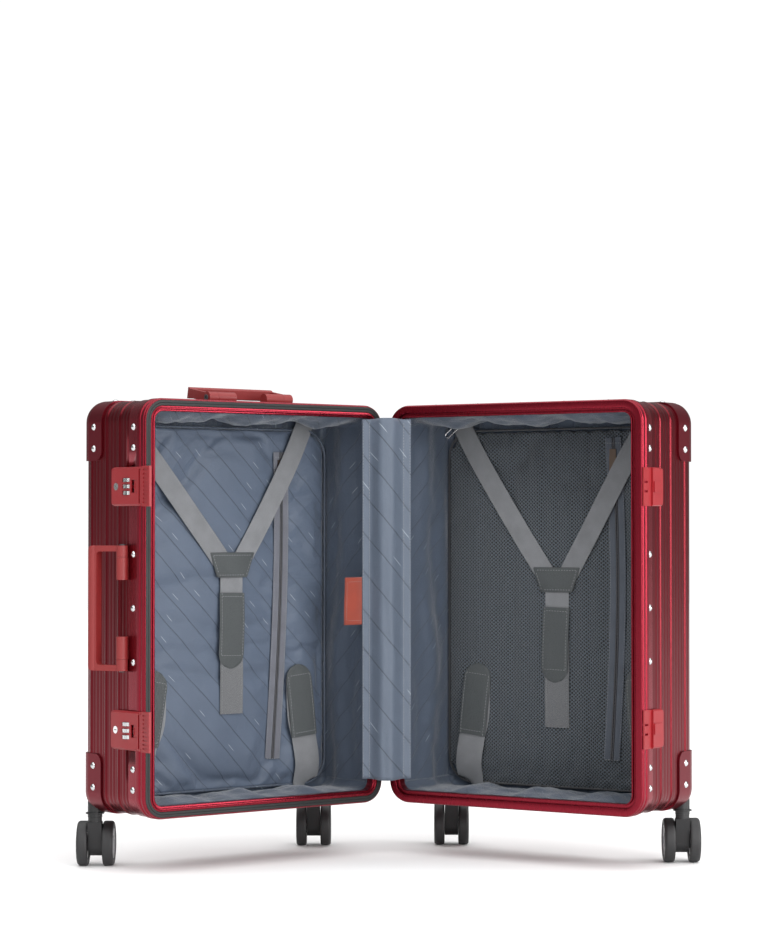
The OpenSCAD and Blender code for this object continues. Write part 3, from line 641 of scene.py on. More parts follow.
def frame_profile(flange, mouth):
    """A frame's section: two beads outside, a flange over the sheet, and the nose with its mouth."""
    outside = [(1, 0, 0.4), (1.5, 0.5, 0.4), (1.5, 2.5, 0.6), (2.6, 3.3, 1.1), (2.6, 6.2, 1.1),
               (1.5, 7, 0.6), (1.5, 9.5, 0.6), (2.6, 10.4, 1.2), (2.6, 17.1, 1.2), (1.5, 18, 0.6),
               (1.5, flange, 0.5)]
    inside = [(0, flange, 0.2), (0, 6, 0), (-1.5, 6, 0), (-1.5, flange - 4, 0), (-3, flange - 4, 0.4),
              (-3, 5, 0.6), (-11, 5, 0.6), (-11, 12, 0.5), (-13, 12, 0.7), (-13, 0, 1.3)]
    return fillet(outside + inside + mouth)


TONGUE_MOUTH = [(-10.6, 0, 0.5), (-10.6, -2.5, 0.9), (-8.4, -2.5, 0.9), (-8.4, 0, 0.5),
                (-6.5, 0, 0.3), (-6.5, 2, 0), (0.5, 2, 0), (0.5, 0, 0.2)]
GROOVE_MOUTH = [(-11.5, 0, 0.5), (-11.5, 3.8, 0.5), (-7.5, 3.8, 0.5), (-7.5, 0, 0.7)]
SEAL = [(-6.5, 2, 0), (0.5, 2, 0), (0.5, -0.3, 0.5), (-0.6, -0.8, 0.8), (-2.6, -0.8, 0.5),
        (-3.0, -0.1, 0.4), (-3.4, -0.8, 0.5), (-5.5, -0.8, 0.8), (-6.5, -0.3, 0.5)]
FLANGES = {"back": 34, "front": 26}     # how deep each frame's flange reaches over the sheet


def frames():
    for half, mouth in ((BACK, TONGUE_MOUTH), (FRONT, GROOVE_MOUTH)):
        profile = frame_profile(FLANGES[half.name], mouth)
        made = ring_piece(half.name + "_frame_profile", half, profile, FRAME_RED, "frame_red",
                          half.name + "_frame")
        if half is BACK:
            cut_windows(made)
    ring_piece("frame_seal_lips", BACK, fillet(SEAL), RUBBER, "rubber", "frame_seal")


def cut_windows(made):
    """Cuts the two dial windows through the back frame's flanges on the lock wall."""
    soup = Soup()
    near, far = DIAL_DEPTHS
    loop = [(-9, near), (4, near), (4, far), (-9, far)]
    for low, high in DIAL_WINDOWS:
        soup.tube([[(-CASE_W / 2 - outside, v, z + MID_Z) for outside, v in loop] for z in (low, high)])
    cutter = object_from("window_cutter", soup, BACK, FRAME_RED)
    modifier = made.modifiers.new("windows", "BOOLEAN")
    modifier.operation = "DIFFERENCE"
    modifier.object = cutter
    apply_modifiers(made)
    bpy.data.objects.remove(cutter)


def apply_modifiers(made):
    """Replaces an object's mesh by what its modifiers make of it."""
    depsgraph = bpy.context.evaluated_depsgraph_get()
    mesh = bpy.data.meshes.new_from_object(made.evaluated_get(depsgraph), depsgraph=depsgraph)
    made.modifiers.clear()
    made.data = mesh
    return made


# ---- Soft goods ----

LINING_N = 10.0
DIVIDER_W = 334.0
DIVIDER_Z = (15.0, 466.0)
DIVIDER_R = 34.0
PIPING_R = 1.5
PUFF_STEPS = 20


def drape(half, x, z, angle, v):
    """How far the loose lining stands in from its wall, at a point of the wall."""
    depth = clamp((v - 12.4) / (half.floor - 18))
    held = math.sin(math.pi * depth) ** 0.75 if 0 < depth < 1 else 0.0
    top = clamp(math.sin(angle)) ** 2
    bottom = clamp(-math.sin(angle)) ** 2
    upright = math.cos(angle) ** 2
    swag = 9.0 + wave(x, (3.6, 118, 0.7), (2.2, 61, 2.0), (0.8, 23, 0.4))
    heave = 5.0 + wave(x, (3.0, 96, 2.2), (1.6, 43, 0.9))
    fold = 3.0 + 2.2 * math.sin(v / 8.5 + 1.4 * math.sin(z / 70) + 0.5)
    fold += 1.6 * math.sin(z / 31 + v / 21)
    crease = 1.8 * rough_noise(x + 300, v * 1.4, z, 26) + 1.1 * rough_noise(x, v, z + 500, 11)
    return held * (top * swag + bottom * heave + upright * fold + 1.4 + crease)


def lining(half):
    """The satin tray: loose walls that hang in swags and folds, and a flat floor."""
    ring = outline(*straight(6.0), arc_steps=10)
    top = half.floor
    bend = np.radians(np.linspace(0, 90, 7))
    walls = np.linspace(12.6, top - 7, 24)
    profile = [(-LINING_N, v) for v in walls]
    profile += [(-LINING_N - 7 + 7 * math.cos(t), top - 7 + 7 * math.sin(t)) for t in bend[1:]]
    profile.append((-CORNER_R, top))
    profile = np.array(profile)
    points = sweep(ring, profile)
    pattern = np.empty_like(points)
    for i, (x, z, angle, distance) in enumerate(ring):
        inward = np.array([-math.cos(angle), 0, -math.sin(angle)])
        for j, v in enumerate(profile[:, 1]):
            points[i, j] += inward * drape(half, x, z, angle, v) if j < len(walls) else 0
            pattern[i, j] = (half.turned * distance, v, 0)
    soup = Soup().grid(points, wrap_rows=True, pattern=pattern)
    xs, zs = straight(6.0)
    x, z = np.meshgrid(xs, zs, indexing="ij")
    floor = np.stack([x, np.full_like(x, top), z + MID_Z], -1)
    soup.grid(floor, pattern=np.stack([half.turned * x, z, 0 * x], -1))
    made = piece(half.name + "_lining_tray", soup, half, SATIN, "lining_fabric", half.name + "_lining",
                 angle=180)
    return made


def rounded_outline(width, z0, z1, radius, steps=10):
    """Points round an upright rounded rectangle, as (x, z)."""
    out = []
    for cx, cz, start in ((1, 1, 0), (-1, 1, 90), (-1, -1, 180), (1, -1, 270)):
        x, z = cx * (width / 2 - radius), (z1 - radius if cz > 0 else z0 + radius)
        for k in range(steps + 1):
            t = math.radians(start + 90 * k / steps)
            out.append((x + radius * math.cos(t), z + radius * math.sin(t)))
    return out


def pad_mesh(name, loop, v0, v1, half, voxel):
    """A closed pad between two depths, remeshed into even cells, in the model's frame."""
    soup = Soup().tube([[(x, v, z) for x, z in loop] for v in (v0, v1)])
    made = object_from(name, soup, half, DARK_SATIN)
    modifier = made.modifiers.new("cells", "REMESH")
    modifier.mode = "VOXEL"
    modifier.voxel_size = voxel * MM
    return apply_modifiers(made)


def points_of(made):
    flat = np.empty(len(made.data.vertices) * 3)
    made.data.vertices.foreach_get("co", flat)
    return flat.reshape(-1, 3)


def local_points(made, half):
    """A mesh's points in the half's own frame, in millimetres."""
    inverse = np.array(half.matrix.inverted())
    return points_of(made) @ inverse[:3, :3].T + inverse[:3, 3]


def set_local(made, half, points):
    matrix = np.array(half.matrix)
    moved = points @ matrix[:3, :3].T + matrix[:3, 3]
    made.data.vertices.foreach_set("co", moved.ravel())
    made.data.update()


COVER_CLOTH = {
    "quality": 6, "mass": 0.12, "tension_stiffness": 20, "compression_stiffness": 20,
    "shear_stiffness": 6, "bending_stiffness": 0.3, "use_pressure": True,
}


def puff(made, held, cap, pressure, slack):
    """Lets a pad's cover go slack and fill with air by cloth simulation, moving no point past cap."""
    rest = points_of(made)
    group = made.vertex_groups.new(name="held")
    for index, weight in enumerate(held):
        group.add([index], float(weight), "REPLACE")
    cloth = made.modifiers.new("cover", "CLOTH")
    for key, value in COVER_CLOTH.items():
        setattr(cloth.settings, key, value)
    cloth.settings.uniform_pressure_force = pressure
    cloth.settings.shrink_min = slack
    cloth.settings.vertex_group_mass = "held"
    cloth.settings.effector_weights.gravity = 0
    cloth.collision_settings.use_collision = False
    scene = bpy.context.scene
    for step in range(1, PUFF_STEPS + 1):
        scene.frame_set(step)
    apply_modifiers(made)
    scene.frame_set(1)
    moved = points_of(made) - rest
    length = np.linalg.norm(moved, axis=1, keepdims=True)
    limit = cap * MM
    moved *= np.where(length > 1e-9, limit * np.tanh(length / limit) / np.maximum(length, 1e-9), 1.0)
    made.data.vertices.foreach_set("co", (rest + moved).ravel())
    made.data.update()


def divider(half, material, slot, voxel, slack):
    """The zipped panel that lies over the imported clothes: a thin pad with a slack front cover."""
    front = half.divider
    loop = rounded_outline(DIVIDER_W - 2, DIVIDER_Z[0] + 1, DIVIDER_Z[1] - 1, DIVIDER_R)
    made = pad_mesh(half.name + "_divider_pad", loop, front + 0.8, front + 6.6, half, voxel)
    local = local_points(made, half)
    x, v, z = local.T
    zip_x = np.array([half.zip_x(height) for height in z])
    edge = np.array([rim_distance(a, b) for a, b in zip(x, z)])
    back = np.clip((v - front - 3) / 1.5, 0, 1)
    rim = np.clip(1 - (edge - 3) / 4, 0, 1)
    seam = np.clip(1 - (np.abs(x - zip_x) - 8) / 5, 0, 1) * np.clip((z - 44) / 6, 0, 1)
    held = np.clip(np.maximum(back, np.maximum(rim, 0.97 * seam)), 0, 1)
    puff(made, held, cap=4.5, pressure=0.6, slack=slack)
    local = local_points(made, half)
    face = np.clip((front + 4 - local[:, 1]) / 2, 0, 1) * np.clip(edge / 14, 0, 1)
    for index in range(len(local)):
        a, _, b = local[index]
        gap = a - zip_x[index]
        pucker = math.exp(-((abs(gap) - 15) / 9) ** 2) * (0.9 * rough_noise(gap / 4, 7, b, 9) - 0.2)
        broad = 1.6 * rough_noise(a + 0.9 * b, 3, b - 0.4 * a, 52)
        local[index, 1] -= face[index] * (1.1 + broad * (1.0 if half is BACK else 0.5) + pucker)
    set_local(made, half, local)
    made.data.materials.clear()
    made.data.materials.append(material)
    made.data.shade_smooth()
    x, v, z = local_points(made, half).T
    store_pattern(made.data, np.stack([half.turned * x, z, v], -1))
    smoother = made.modifiers.new("smooth", "SUBSURF")
    smoother.levels = smoother.render_levels = 1
    finish(made, half.body, slot, half.name + "_divider")
    return made


def rim_distance(x, z):
    """Distance of a point of the divider in from its rounded rim."""
    half_w, mid = DIVIDER_W / 2, sum(DIVIDER_Z) / 2
    dx = abs(x) - (half_w - DIVIDER_R)
    dz = abs(z - mid) - ((DIVIDER_Z[1] - DIVIDER_Z[0]) / 2 - DIVIDER_R)
    outside = math.hypot(max(dx, 0), max(dz, 0)) + min(max(dx, dz), 0)
    return DIVIDER_R - outside


def catmull(points, steps):
    """A smooth line through the given points."""
    points = [np.array(p, float) for p in points]
    padded = [2 * points[0] - points[1], *points, 2 * points[-1] - points[-2]]
    out = []
    for a, b, c, d in zip(padded, padded[1:], padded[2:], padded[3:]):
        for t in np.linspace(0, 1, steps, endpoint=False):
            out.append(0.5 * (2 * b + (c - a) * t + (2 * a - 5 * b + 4 * c - d) * t ** 2
                              + (3 * b - a - 3 * c + d) * t ** 3))
    out.append(points[-1])
    return np.array(out)


def lengths(line):
    """The distance of each point of a line from its start."""
    return np.concatenate([[0], np.cumsum(np.linalg.norm(np.diff(line, axis=0), axis=1))])


def points_at(line, marks):
    """The points of a line at given distances from its start."""
    length = lengths(line)
    return np.stack([np.interp(marks, length, line[:, k]) for k in range(3)], -1)


def ribbon(soup, line, width, thickness, facing=(0, -1, 0), crown=0.0, ends=0.0):
    """Adds a flat band along a line of [x, v, z] points; ends rounds the last end to a half circle."""
    line = np.array(line, float)
    tangent = np.gradient(line, axis=0)
    tangent /= np.linalg.norm(tangent, axis=1, keepdims=True)
    side = np.cross(tangent, np.array(facing, float))
    side /= np.linalg.norm(side, axis=1, keepdims=True)
    up = np.cross(side, tangent)
    length = lengths(line)
    t = np.linspace(-1, 1, 9)
    section = [(a, 0.5 + crown * (1 - a * a)) for a in t] + [(a, -0.5) for a in reversed(t)]
    section = np.array(section)
    section[[0, 8, 9, 17], 1] *= 0.35
    half_w = np.full(len(line), width / 2)
    if ends:
        left = np.clip((length[-1] - length) / ends, 0, 1)
        half_w = half_w * np.maximum(np.sqrt(1 - (1 - left) ** 2), 0.12)
    points = (line[:, None] + side[:, None] * (half_w[:, None] * section[:, 0])[..., None]
              + up[:, None] * (thickness * np.broadcast_to(section[:, 1], (len(line), 18)))[..., None])
    pattern = np.zeros_like(points)
    pattern[..., 0] = half_w[:, None] * section[:, 0]
    pattern[..., 1] = length[:, None]
    return soup.tube(points, pattern)


DIAMOND = ((-1, 0), (0, 1), (1, 0), (0, -1))    # a stitch's section


def stitch_line(soup, line, lift=0.5, dash=2.6, gap=1.3, width=0.75):
    """Adds a row of stitches along a line of [x, v, z] points, lifted towards the opening."""
    line = np.array(line, float)
    for start in np.arange(0.5, lengths(line)[-1] - dash, dash + gap):
        centre = points_at(line, [start, start + 0.3 * dash, start + 0.7 * dash, start + dash])
        along = centre[-1] - centre[0]
        side = np.cross(along, (0, -1, 0))
        side /= np.linalg.norm(side)
        rings = []
        for k, size in enumerate((0.35, 1.0, 1.0, 0.35)):
            middle = centre[k] + np.array([0, -lift + (0.3 if size < 1 else 0), 0])
            rings.append([middle + side * (width / 2 * size * a) + np.array([0, -0.3 * size * b, 0])
                          for a, b in DIAMOND])
        soup.tube(rings)
    return soup


def offset_pair(line, distance):
    """The two lines beside a line, at a distance on either side in its own plane."""
    line = np.array(line, float)
    tangent = np.gradient(line, axis=0)
    side = np.cross(tangent, (0, -1, 0))
    side /= np.linalg.norm(side, axis=1, keepdims=True)
    return line + side * distance, line - side * distance


def hem(stitching, tab, reach, lift):
    """Sews round a tab: a row along each side, and one across near each end."""
    left, right = offset_pair(tab[:-5], reach)
    for line in (left, right):
        stitch_line(stitching, line, lift)
    for k in (1, len(left) - 2):
        stitch_line(stitching, np.linspace(left[k], right[k], 6), lift + 0.1)


STRAP_V = 5.6                   # the straps' middle lies this far in front of the divider's face
ARM_W, STRAP_W, WEB_T = 27.0, 38.0, 1.5


def plate(soup, loop, v, thickness, edge=0.5):
    """Adds a flat leather plate with softened edges; loop is a list of (x, z) round it."""
    loop = np.array(loop, float)
    middle = loop.mean(0)
    rings = []
    front = v - thickness / 2
    for depth, inset in ((front + thickness, 0.0), (front + edge, 0.0), (front, edge)):
        away = loop - middle
        shrink = 1 - inset / np.linalg.norm(away, axis=1, keepdims=True)
        ring = middle + away * shrink
        rings.append(np.stack([ring[:, 0], np.full(len(ring), depth), ring[:, 1]], -1))
    return soup.tube(rings)


def straps(half):
    """Two arms to a leather yoke, a tab on a tail below it, and two short straps at the foot."""
    web, hide, loops, stitching = Soup(), Soup(), Soup(), Soup()
    x, z = half.yoke
    v = half.divider - STRAP_V
    insets = {1: 53.0, -1: 39.0} if half is BACK else {1: 40.0, -1: 58.0}
    for s in (-1, 1):
        top_x, top_z = s * (CASE_W / 2 - insets[s]), 461.0
        reach_x, reach_z = x + 20 * s - top_x, z + 8 - top_z
        on_the_way = [(top_x + reach_x * share, v - lift, top_z + reach_z * share)
                      for share, lift in ((0.25, 0.5), (0.7, 1.2))]
        arm = catmull([(top_x + s * 9, half.floor - 6, 474), (top_x, v + 5, top_z), *on_the_way,
                       (x + 15 * s, v, z + 2), (x + 9 * s, v + 1.0, z - 12)], 8)
        ribbon(web, arm, ARM_W, WEB_T, crown=0.1)
        for side in offset_pair(arm, ARM_W / 2 - 1.9):
            stitch_line(stitching, side[10:], 0.75, 1.7, 1.5, 0.5)
        ribbon(web, lower_strap(half, s, v), STRAP_W, WEB_T, crown=0.1)
    yoke = [(x - 34, z + 13, 2), (x + 34, z + 13, 2), (x + 23, z - 18, 3), (x - 23, z - 18, 3)]
    plate(hide, fillet(yoke, 5), v - 1.4, 2.0)
    inner = [(x - 30, z + 9.5), (x - 21, z - 15), (x + 21, z - 15), (x + 30, z + 9.5)]
    for first, last in ((0, 1), (2, 3), (1, 2), (0, 3)):
        stitch_line(stitching, [(a, v - 2.5, b) for a, b in (inner[first], inner[last])])
    tail_tab(half, web, hide, loops, stitching, v)
    for s in (-1, 1):
        foot_tab(half, s, hide, stitching, v)
    piece(half.name + "_strap_webbing", web, half, WEBBING, "webbing", half.name + "_straps", angle=60)
    piece(half.name + "_strap_leather", hide, half, LEATHER, "leather", angle=50)
    piece(half.name + "_hook_and_loop", loops, half, LOOPS, "webbing", angle=50)
    piece(half.name + "_strap_stitches", stitching, half, STITCH, "webbing", weld=0)


def tail_tab(half, web, hide, loops, stitching, v):
    """The tail below the yoke: a short web, a leather tab with a round end, and the tape behind it."""
    x, z = half.yoke
    drop = z - 18
    web_line = catmull([(x, v + 0.4, drop + 6), (x, v + 0.2, drop - 10), (x, v + 0.6, drop - 30)], 6)
    ribbon(web, web_line, 34, WEB_T)
    lean = -2.0 if half is BACK else 3.0
    tab = catmull([(x, v - 1.0, drop - 19), (x + lean * 0.4, v - 2.6, drop - 55),
                   (x + lean * 0.8, v - 2.2, drop - 90), (x + lean, v - 0.4, drop - 113)], 8)
    ribbon(hide, tab, STRAP_W, 2.4, ends=STRAP_W / 2)
    tape = catmull([(x, v + 0.3, drop - 60), (x, v - 0.6, drop - 120), (x, v + 0.2, z - 187)], 6)
    ribbon(loops, tape, 35, 1.2)
    hem(stitching, tab, 16.2, 1.5)
    for line in offset_pair(tape[4:], 14.6):
        stitch_line(stitching, line, 0.9, 1.8, 1.4, 0.5)


def lower_strap(half, s, v):
    """The line of a short strap, from the foot of the wall up to its leather tab."""
    foot_x, top_x = (131.0, 118.0) if s > 0 or half is FRONT else (126.0, 105.0)
    return catmull([(s * (foot_x + 3), half.floor - 6, 16), (s * foot_x, v + 3.5, 22),
                    (s * (foot_x - 1), v - 2.2, 44), (s * (foot_x - 5), v - 1.0, 74),
                    (s * (top_x + 2), v + 0.8, 104), (s * top_x, v + 1.4, 150)], 8)


def foot_tab(half, s, hide, stitching, v):
    """The leather tab on a short strap, its round end up."""
    line = lower_strap(half, s, v)
    low = line[np.argmin(np.abs(line[:, 2] - 78))]
    high = line[-1]
    run = (high - low) / np.linalg.norm(high - low)
    tab = catmull([low + (0, -1.4, 0), low + run * 40 + (0, -2.2, 0), low + run * 72 + (0, -1.8, 0),
                   low + run * 91 + (0, -0.6, 0)], 8)
    ribbon(hide, tab, 40, 2.3, ends=20.0)
    hem(stitching, tab, 17.0, 1.4)


def zip_line(half):
    """The divider's zip: two tapes, the closed coil between them, and the stitches beside it."""
    z0, z1 = (51.0, 436.0) if half is BACK else (54.0, 452.0)
    heights = np.linspace(z0, z1, 60)
    v = half.divider - 0.9
    line = np.array([(half.zip_x(z), v - 0.5, z) for z in heights])
    tape, coil, stitching = Soup(), Soup(), Soup()
    for side in (1, 0):
        ribbon(tape, offset_pair(line, 6.6)[side], 9.5, 0.9, crown=0.2)
        stitch_line(stitching, offset_pair(line, 10.4)[side], 0.6, 1.8, 1.3, 0.55)
        teeth_along(coil, offset_pair(line, 1.25)[side])
    for end in (line[:2], line[-2:]):
        middle = end[0]
        stitch_line(stitching, [middle + (-10, 0, 0), middle + (10, 0, 0)], 1.2)
    cloth = TAPE if half is BACK else DARK_TAPE
    piece(half.name + "_zip_tape", tape, half, cloth, "lining_fabric", angle=60)
    piece(half.name + "_zip_coil", coil, half, COIL, "black_plastic", angle=60)
    piece(half.name + "_zip_stitches", stitching, half, STITCH, "lining_fabric", weld=0)


def teeth_along(soup, line):
    """A nylon coil seen from outside: a cord whose turns swell and narrow along the line."""
    centre = points_at(line, np.arange(0, lengths(line)[-1], 0.55))
    rings = []
    for k, point in enumerate(centre):
        size = 1.25 if k % 2 else 0.95
        rings.append([point + np.array([size * math.cos(t), -0.6 - 0.9 * size * math.sin(t), 0])
                      for t in circle(6)])
    return soup.tube(rings)


def cord_ring(centres, outs, radius):
    """A closed cord through centres in an upright plane; outs point out of its loop."""
    rings = [[centre + out * radius * math.cos(t) - np.array([0, radius * math.sin(t), 0])
              for t in circle(8)] for centre, out in zip(centres, outs)]
    return Soup().grid(rings, wrap_rows=True, wrap_cols=True)


def unit(vector):
    return vector / np.linalg.norm(vector)


def piping(half, material):
    """The corded edge sewn round the divider."""
    r = PIPING_R
    loop = rounded_outline(DIVIDER_W - 2 * r, DIVIDER_Z[0] + r, DIVIDER_Z[1] - r, DIVIDER_R, 8)
    outs = [unit(np.array([x, 0, z - sum(DIVIDER_Z) / 2])) for x, z in loop]
    soup = cord_ring([np.array([x, half.divider + 1.8, z]) for x, z in loop], outs, r)
    return piece(half.name + "_divider_piping", soup, half, material, "webbing", angle=180)


# ---- The gusset over the hinge, the tag and the ring ----

COVER_U = 30.0                  # how far in from the hinge wall the gusset is sewn on
COVER_Z = (28.0, 476.0)
COVER_W = 74.0                  # along the bow, from seam to seam


def to_model(half, point):
    return np.array(half.matrix @ Vector(point)) / MM


def hinge_gusset():
    """A strip of satin from one half to the other, bowed out over the hinge, with two sewn hems."""
    edge = CASE_W / 2 - COVER_U
    start, end = to_model(BACK, (edge, 0.6, 0)), to_model(FRONT, (edge, 0.6, 0))
    middle = (start + end) / 2
    out = middle - PIN
    out[2] = 0
    out /= np.linalg.norm(out)
    across = end - start
    base = start[2]
    shares = np.concatenate([np.linspace(0, 0.16, 6), np.linspace(0.18, 0.82, 26),
                             np.linspace(0.84, 1, 6)])
    heights = np.linspace(*COVER_Z, 90)
    points = []
    for z in heights:
        up = (z - COVER_Z[0]) / (COVER_Z[1] - COVER_Z[0]) - 0.5
        row = []
        for share in shares:
            bow = smooth((share - 0.13) / 0.3) * smooth((0.87 - share) / 0.3)
            ripple = 0.9 * rough_noise(share * 8, z / 60, 2, 1.0) * bow
            place = start + across * share + out * (1.0 + 13.0 * bow + ripple)
            row.append((place[0], place[1], base + z + 3.0 * bow * up))
        points.append(row)
    u, z = np.meshgrid(shares * COVER_W, heights)
    soup = Soup().grid(points, pattern=np.stack([u, z, 0 * u], -1))
    made = object_from("hinge_gusset", soup, None, COVER_SATIN, angle=180)
    solidify(made, 0.8, 0)
    seams = Soup()
    for share in (0.02, 0.15, 0.85, 0.98):
        column = start + across * share + out * 1.9
        line = [(column[0], column[1], base + z) for z in (COVER_Z[0] + 2, COVER_Z[1] - 2)]
        seam_along(seams, np.array(line), out)
    sewn = object_from("hinge_gusset_seams", seams, None, STITCH, weld=0)
    for piece in (made, sewn):
        apply_modifiers(piece)
        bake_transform(piece)
    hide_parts("hinge_cover")
    return made


def seam_along(soup, line, out):
    """Adds an upright row of fine stitches that stand out along a direction."""
    side = np.cross(out, (0, 0, 1))
    length = line[-1, 2] - line[0, 2]
    for start in np.arange(0, length - 3, 3.6):
        rings = []
        for share, size in ((0, 0.4), (0.3, 1), (0.7, 1), (1, 0.4)):
            middle = line[0] + np.array([0, 0, start + 2.4 * share]) - out * 0.3
            rings.append([middle + side * (0.35 * size * a) + out * (0.35 * size * b)
                          for a, b in DIAMOND])
        soup.tube(rings)
    return soup


def orange_tag():
    """The cloth tag sewn into the gusset's seam, folded over at its free edge."""
    u0, u1, z0, z1 = 28.5, 51.0, 220.0, 279.0
    rows = []
    for z in np.linspace(z0, z1, 24):
        row = []
        for u in np.linspace(u0, u1, 12):
            share = (u - u0) / (u1 - u0)
            v = 1.0 + 9.0 * share - 3.5 * math.sin(share * math.pi) + 0.8 * math.sin(z / 16) * share
            row.append((CASE_W / 2 - u, v, z + 1.2 * share * math.sin(z / 9)))
        rows.append(row)
    rows = np.array(rows)
    pattern = np.stack([rows[..., 0], rows[..., 2], 0 * rows[..., 0]], -1)
    soup = Soup().grid(rows, pattern=pattern)
    made = object_from("orange_side_tag", soup, BACK, ORANGE, angle=180)
    solidify(made, 1.2, 0)
    finish(made, BACK.body, "orange_tag")
    border = Soup()
    inner = [rows[2, :-1], rows[-3, :-1], rows[2:-2, -2]]
    for line in inner:
        stitch_line(border, line, 0.9, 1.8, 1.2, 0.5)
    sewn = piece("orange_tag_stitches", border, BACK, STITCH, "orange_tag", weld=0)
    return made


def ring_tab():
    """The metal ring that joins the front half's arm to its anchor in the corner."""
    centre = np.array([CASE_W / 2 - 24.0, FRONT.divider - 5.0, 466.0])
    along, side = np.array([-0.62, 0, -0.78]), np.array([0.78, 0, -0.62])
    loop = fillet([(-14, -3.2, 2.5), (14, -3.2, 2.5), (14, 3.2, 2.5), (-14, 3.2, 2.5)], 5)
    outs = [unit(side * a / 14 + along * b / 3.2) for a, b in loop]
    soup = cord_ring([centre + side * a + along * b for a, b in loop], outs, 1.2)
    return piece("strap_ring", soup, FRONT, CHROME, "chrome", angle=180)


# ---- Casters ----

WHEEL_D, WHEEL_W, WHEEL_GAP = 54.0, 13.0, 18.0
ROLL_ANGLE = 50.0
CASTERS = [half + "_" + wall for half in ("back", "front") for wall in ("lock", "hinge")]


def lathe(soup, profile, centre, axis, steps=64):
    """Adds a body of revolution: profile is [radius, distance along the axis]."""
    axis = np.array(axis, float)
    u = np.array([0, 0, 1.0])
    w = np.cross(axis, u)
    rows = []
    for k in range(steps):
        t = 2 * math.pi * k / steps
        out = u * math.cos(t) + w * math.sin(t)
        rows.append([centre + out * r + axis * d for r, d in profile])
    return soup.grid(rows, wrap_rows=True)


def caster_wheels(name):
    """Both wheels of a caster: rubber tyres on grey hubs, each with a disc on its outer side."""
    centre = sum(box_of("caster_wheels_" + name)) / 2
    turn = math.radians(ROLL_ANGLE)
    tyres, hubs = Soup(), Soup()
    r = WHEEL_D / 2
    inner, outer = WHEEL_GAP / 2, WHEEL_GAP / 2 + WHEEL_W
    tyre = fillet([(19.5, inner + 0.4, 0.6), (r - 1, inner, 2.4), (r, inner + 2, 1.6),
                   (r, outer - 2.5, 1.6), (r - 1.6, outer, 2.4), (19.6, outer, 0.8),
                   (19.0, outer - 1.4, 0.4), (19.0, inner + 1.4, 0.4)], 4)
    inside = [(0, 1.2), (6, 1.2), (7, 0.2), (9, 0.2), (10, 1.6), (19.1, 1.6)]
    outside = [(19.1, 1.4), (18.2, 0.6), (16.6, 0.5), (15.8, 1.3), (9.2, 1.3), (8.4, 0.5), (5.6, 0.3),
               (4.8, 1.0), (0, 1.0)]
    hub = [(a, inner + d) for a, d in inside] + [(a, outer - d) for a, d in outside]
    for side in (-1, 1):
        axis = side * np.array([-math.sin(turn), math.cos(turn), 0])
        lathe(tyres, [*tyre, tyre[0]], centre, axis)
        lathe(hubs, hub, centre, axis)
    made = object_from("caster_tyres_" + name, tyres, None, WHEEL_RUBBER, angle=35)
    finish(made, "caster_wheels_" + name, "wheel_rubber", "caster_wheels_" + name)
    made = object_from("caster_hubs_" + name, hubs, None, HUB_GREY, angle=30)
    finish(made, "caster_wheels_" + name, "black_plastic")


# ---- The CAD parts that keep their shape ----

FINISHES = {
    "corner_guards": GUARD_RED, "hinge_leaf": FRAME_RED, "lock_cases": LOCK_RED, "keepers": LOCK_RED,
    "upper_lock": LOCK_RED, "lower_lock": LOCK_RED, "latch": LOCK_RED, "key": CHROME, "dial": STEEL,
    "lock_pins": STEEL, "hinge_pin": STEEL, "rivets": STEEL, "handle_mounts": HANDLE_RED,
    "handle_pins": SLOT_PLASTIC, "side_handle": HANDLE_RED, "top_handle": HANDLE_RED,
    "trolley_housing": BLACK_PLASTIC, "tubes": TUBE_METAL, "trolley_grip": BLACK_PLASTIC,
    "trolley_button": SLOT_PLASTIC, "caster_bases": BLACK_PLASTIC, "caster_fork": BLACK_PLASTIC,
    "caster_axle": STEEL, "zip_slider": BRONZE,
}


def finish_cad():
    """Gives every CAD part that still shows its material."""
    for name, made in frame["nodes"].items():
        material = next((found for part, found in FINISHES.items() if part in name), None)
        if material and not made.hide_render:
            for index in range(len(made.data.materials)):
                made.data.materials[index] = material


# ---- Build ----

for case_half in (BACK, FRONT):
    shell(case_half)
    lining(case_half)
    straps(case_half)
    zip_line(case_half)
frames()
divider(BACK, DARK_SATIN, "divider_satin", 5.0, -0.035)
divider(FRONT, MESH, "spacer_mesh", 6.0, -0.01)
piping(BACK, SATIN)
piping(FRONT, PIPING)
hinge_gusset()
orange_tag()
ring_tab()
for caster in CASTERS:
    caster_wheels(caster)
finish_cad()


# ---- Floor, light and camera ----


def softbox(name, place, target, size, power):
    data = bpy.data.lights.new(name, "AREA")
    data.shape = "RECTANGLE"
    data.size, data.size_y = size
    data.energy = power
    made = add_object(name, data)
    made.location = place
    made.rotation_euler = (Vector(target) - made.location).to_track_quat("-Z", "Y").to_euler()


SURROUND_LIGHT, SURROUND_SEEN = 0.24, 1.05     # how bright the surround is as a light, and to the eye
OVERHEAD_STRENGTH, OVERHEAD_SPREAD, OVERHEAD_TILT = 4.0, 110, (12, -6)     # spread and tilt in degrees
SOFTBOXES = {                   # place, target, size in metres, and watts
    "key": ((-0.35, -3.2, 1.0), (-0.1, 0.1, 0.3), (1.7, 1.7), 66),
    "edge": ((2.1, -2.6, 0.7), (0, 0, 0.3), (0.7, 1.9), 45),
    "fill": ((-3.2, -1.5, 1.3), (0, 0, 0.3), (1.0, 1.6), 16),
}


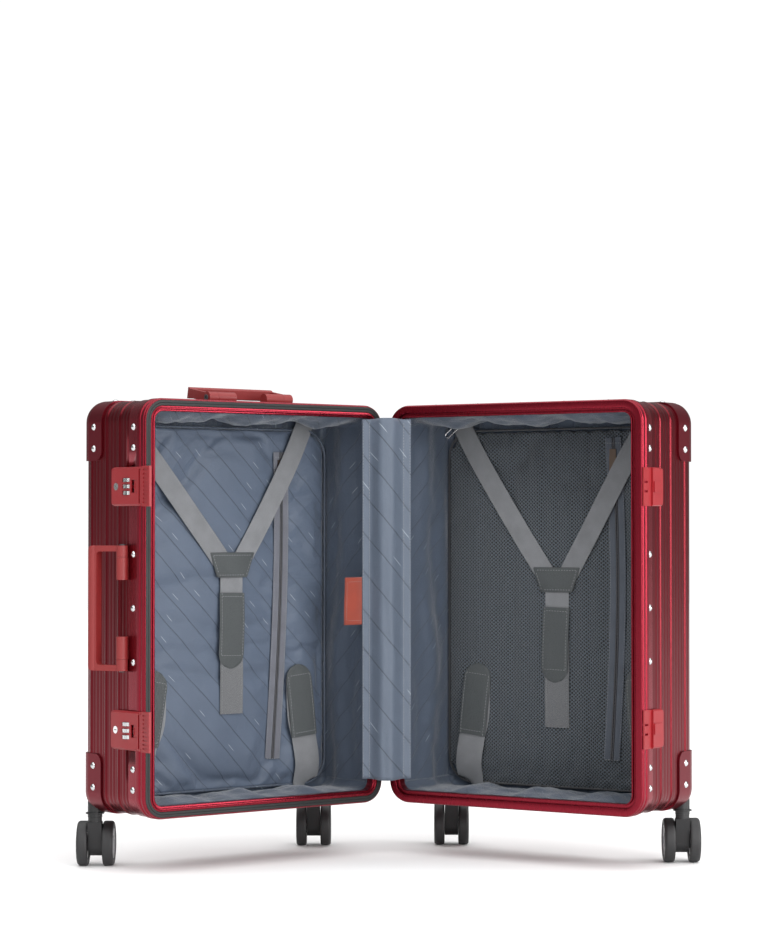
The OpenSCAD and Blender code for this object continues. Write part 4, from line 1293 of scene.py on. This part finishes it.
def studio():
    """A pale floor under an even white surround, with one broad light overhead and three softboxes."""
    mesh = bpy.data.meshes.new("floor")
    mesh.from_pydata([(-9, -9, 0), (9, -9, 0), (9, 9, 0), (-9, 9, 0)], [], [(0, 1, 2, 3)])
    floor = add_object("floor", mesh)
    paint = Graph("floor_white", (0.90, 0.90, 0.90), 0.7)
    paint.vary_color(paint.noise(paint.place(), 3), 0.01)
    mesh.materials.append(paint.material)
    world = bpy.data.worlds.new("surround")
    bpy.context.scene.world = world
    world.use_nodes = True
    nodes, links = world.node_tree.nodes, world.node_tree.links
    seen = nodes.new("ShaderNodeLightPath").outputs["Is Camera Ray"]
    strength = nodes.new("ShaderNodeMapRange")
    strength.inputs["To Min"].default_value = SURROUND_LIGHT
    strength.inputs["To Max"].default_value = SURROUND_SEEN
    links.new(seen, strength.inputs["Value"])
    links.new(strength.outputs[0], nodes["Background"].inputs["Strength"])
    nodes["Background"].inputs["Color"].default_value = (1, 1, 1, 1)
    bpy.context.scene.view_settings.view_transform = "Standard"
    overhead = bpy.data.lights.new("overhead", "SUN")
    overhead.energy = OVERHEAD_STRENGTH
    overhead.angle = math.radians(OVERHEAD_SPREAD)
    made = add_object("overhead", overhead)
    made.rotation_euler = (*(math.radians(tilt) for tilt in OVERHEAD_TILT), 0)
    for name, settings in SOFTBOXES.items():
        softbox(name, *settings)


VIEW_AZIMUTH = -40.0            # degrees round from the front, towards the lock wall
VIEW_RISE = 1.267               # degrees that the view looks up
VIEW_OFFSET = (-2.2257, -2.6608)    # from the hinge pin, in metres
VIEW_HEIGHT = 0.407
LENS, SENSOR = 106.1, 36


def camera():
    data = bpy.data.cameras.new("camera")
    data.lens = LENS
    data.sensor_width = SENSOR
    made = add_object("camera", data)
    made.location = (PIN[0] * MM + VIEW_OFFSET[0], PIN[1] * MM + VIEW_OFFSET[1], VIEW_HEIGHT)
    made.rotation_euler = (math.radians(90 + VIEW_RISE), 0, math.radians(VIEW_AZIMUTH))
    bpy.context.scene.camera = made


studio()
camera()
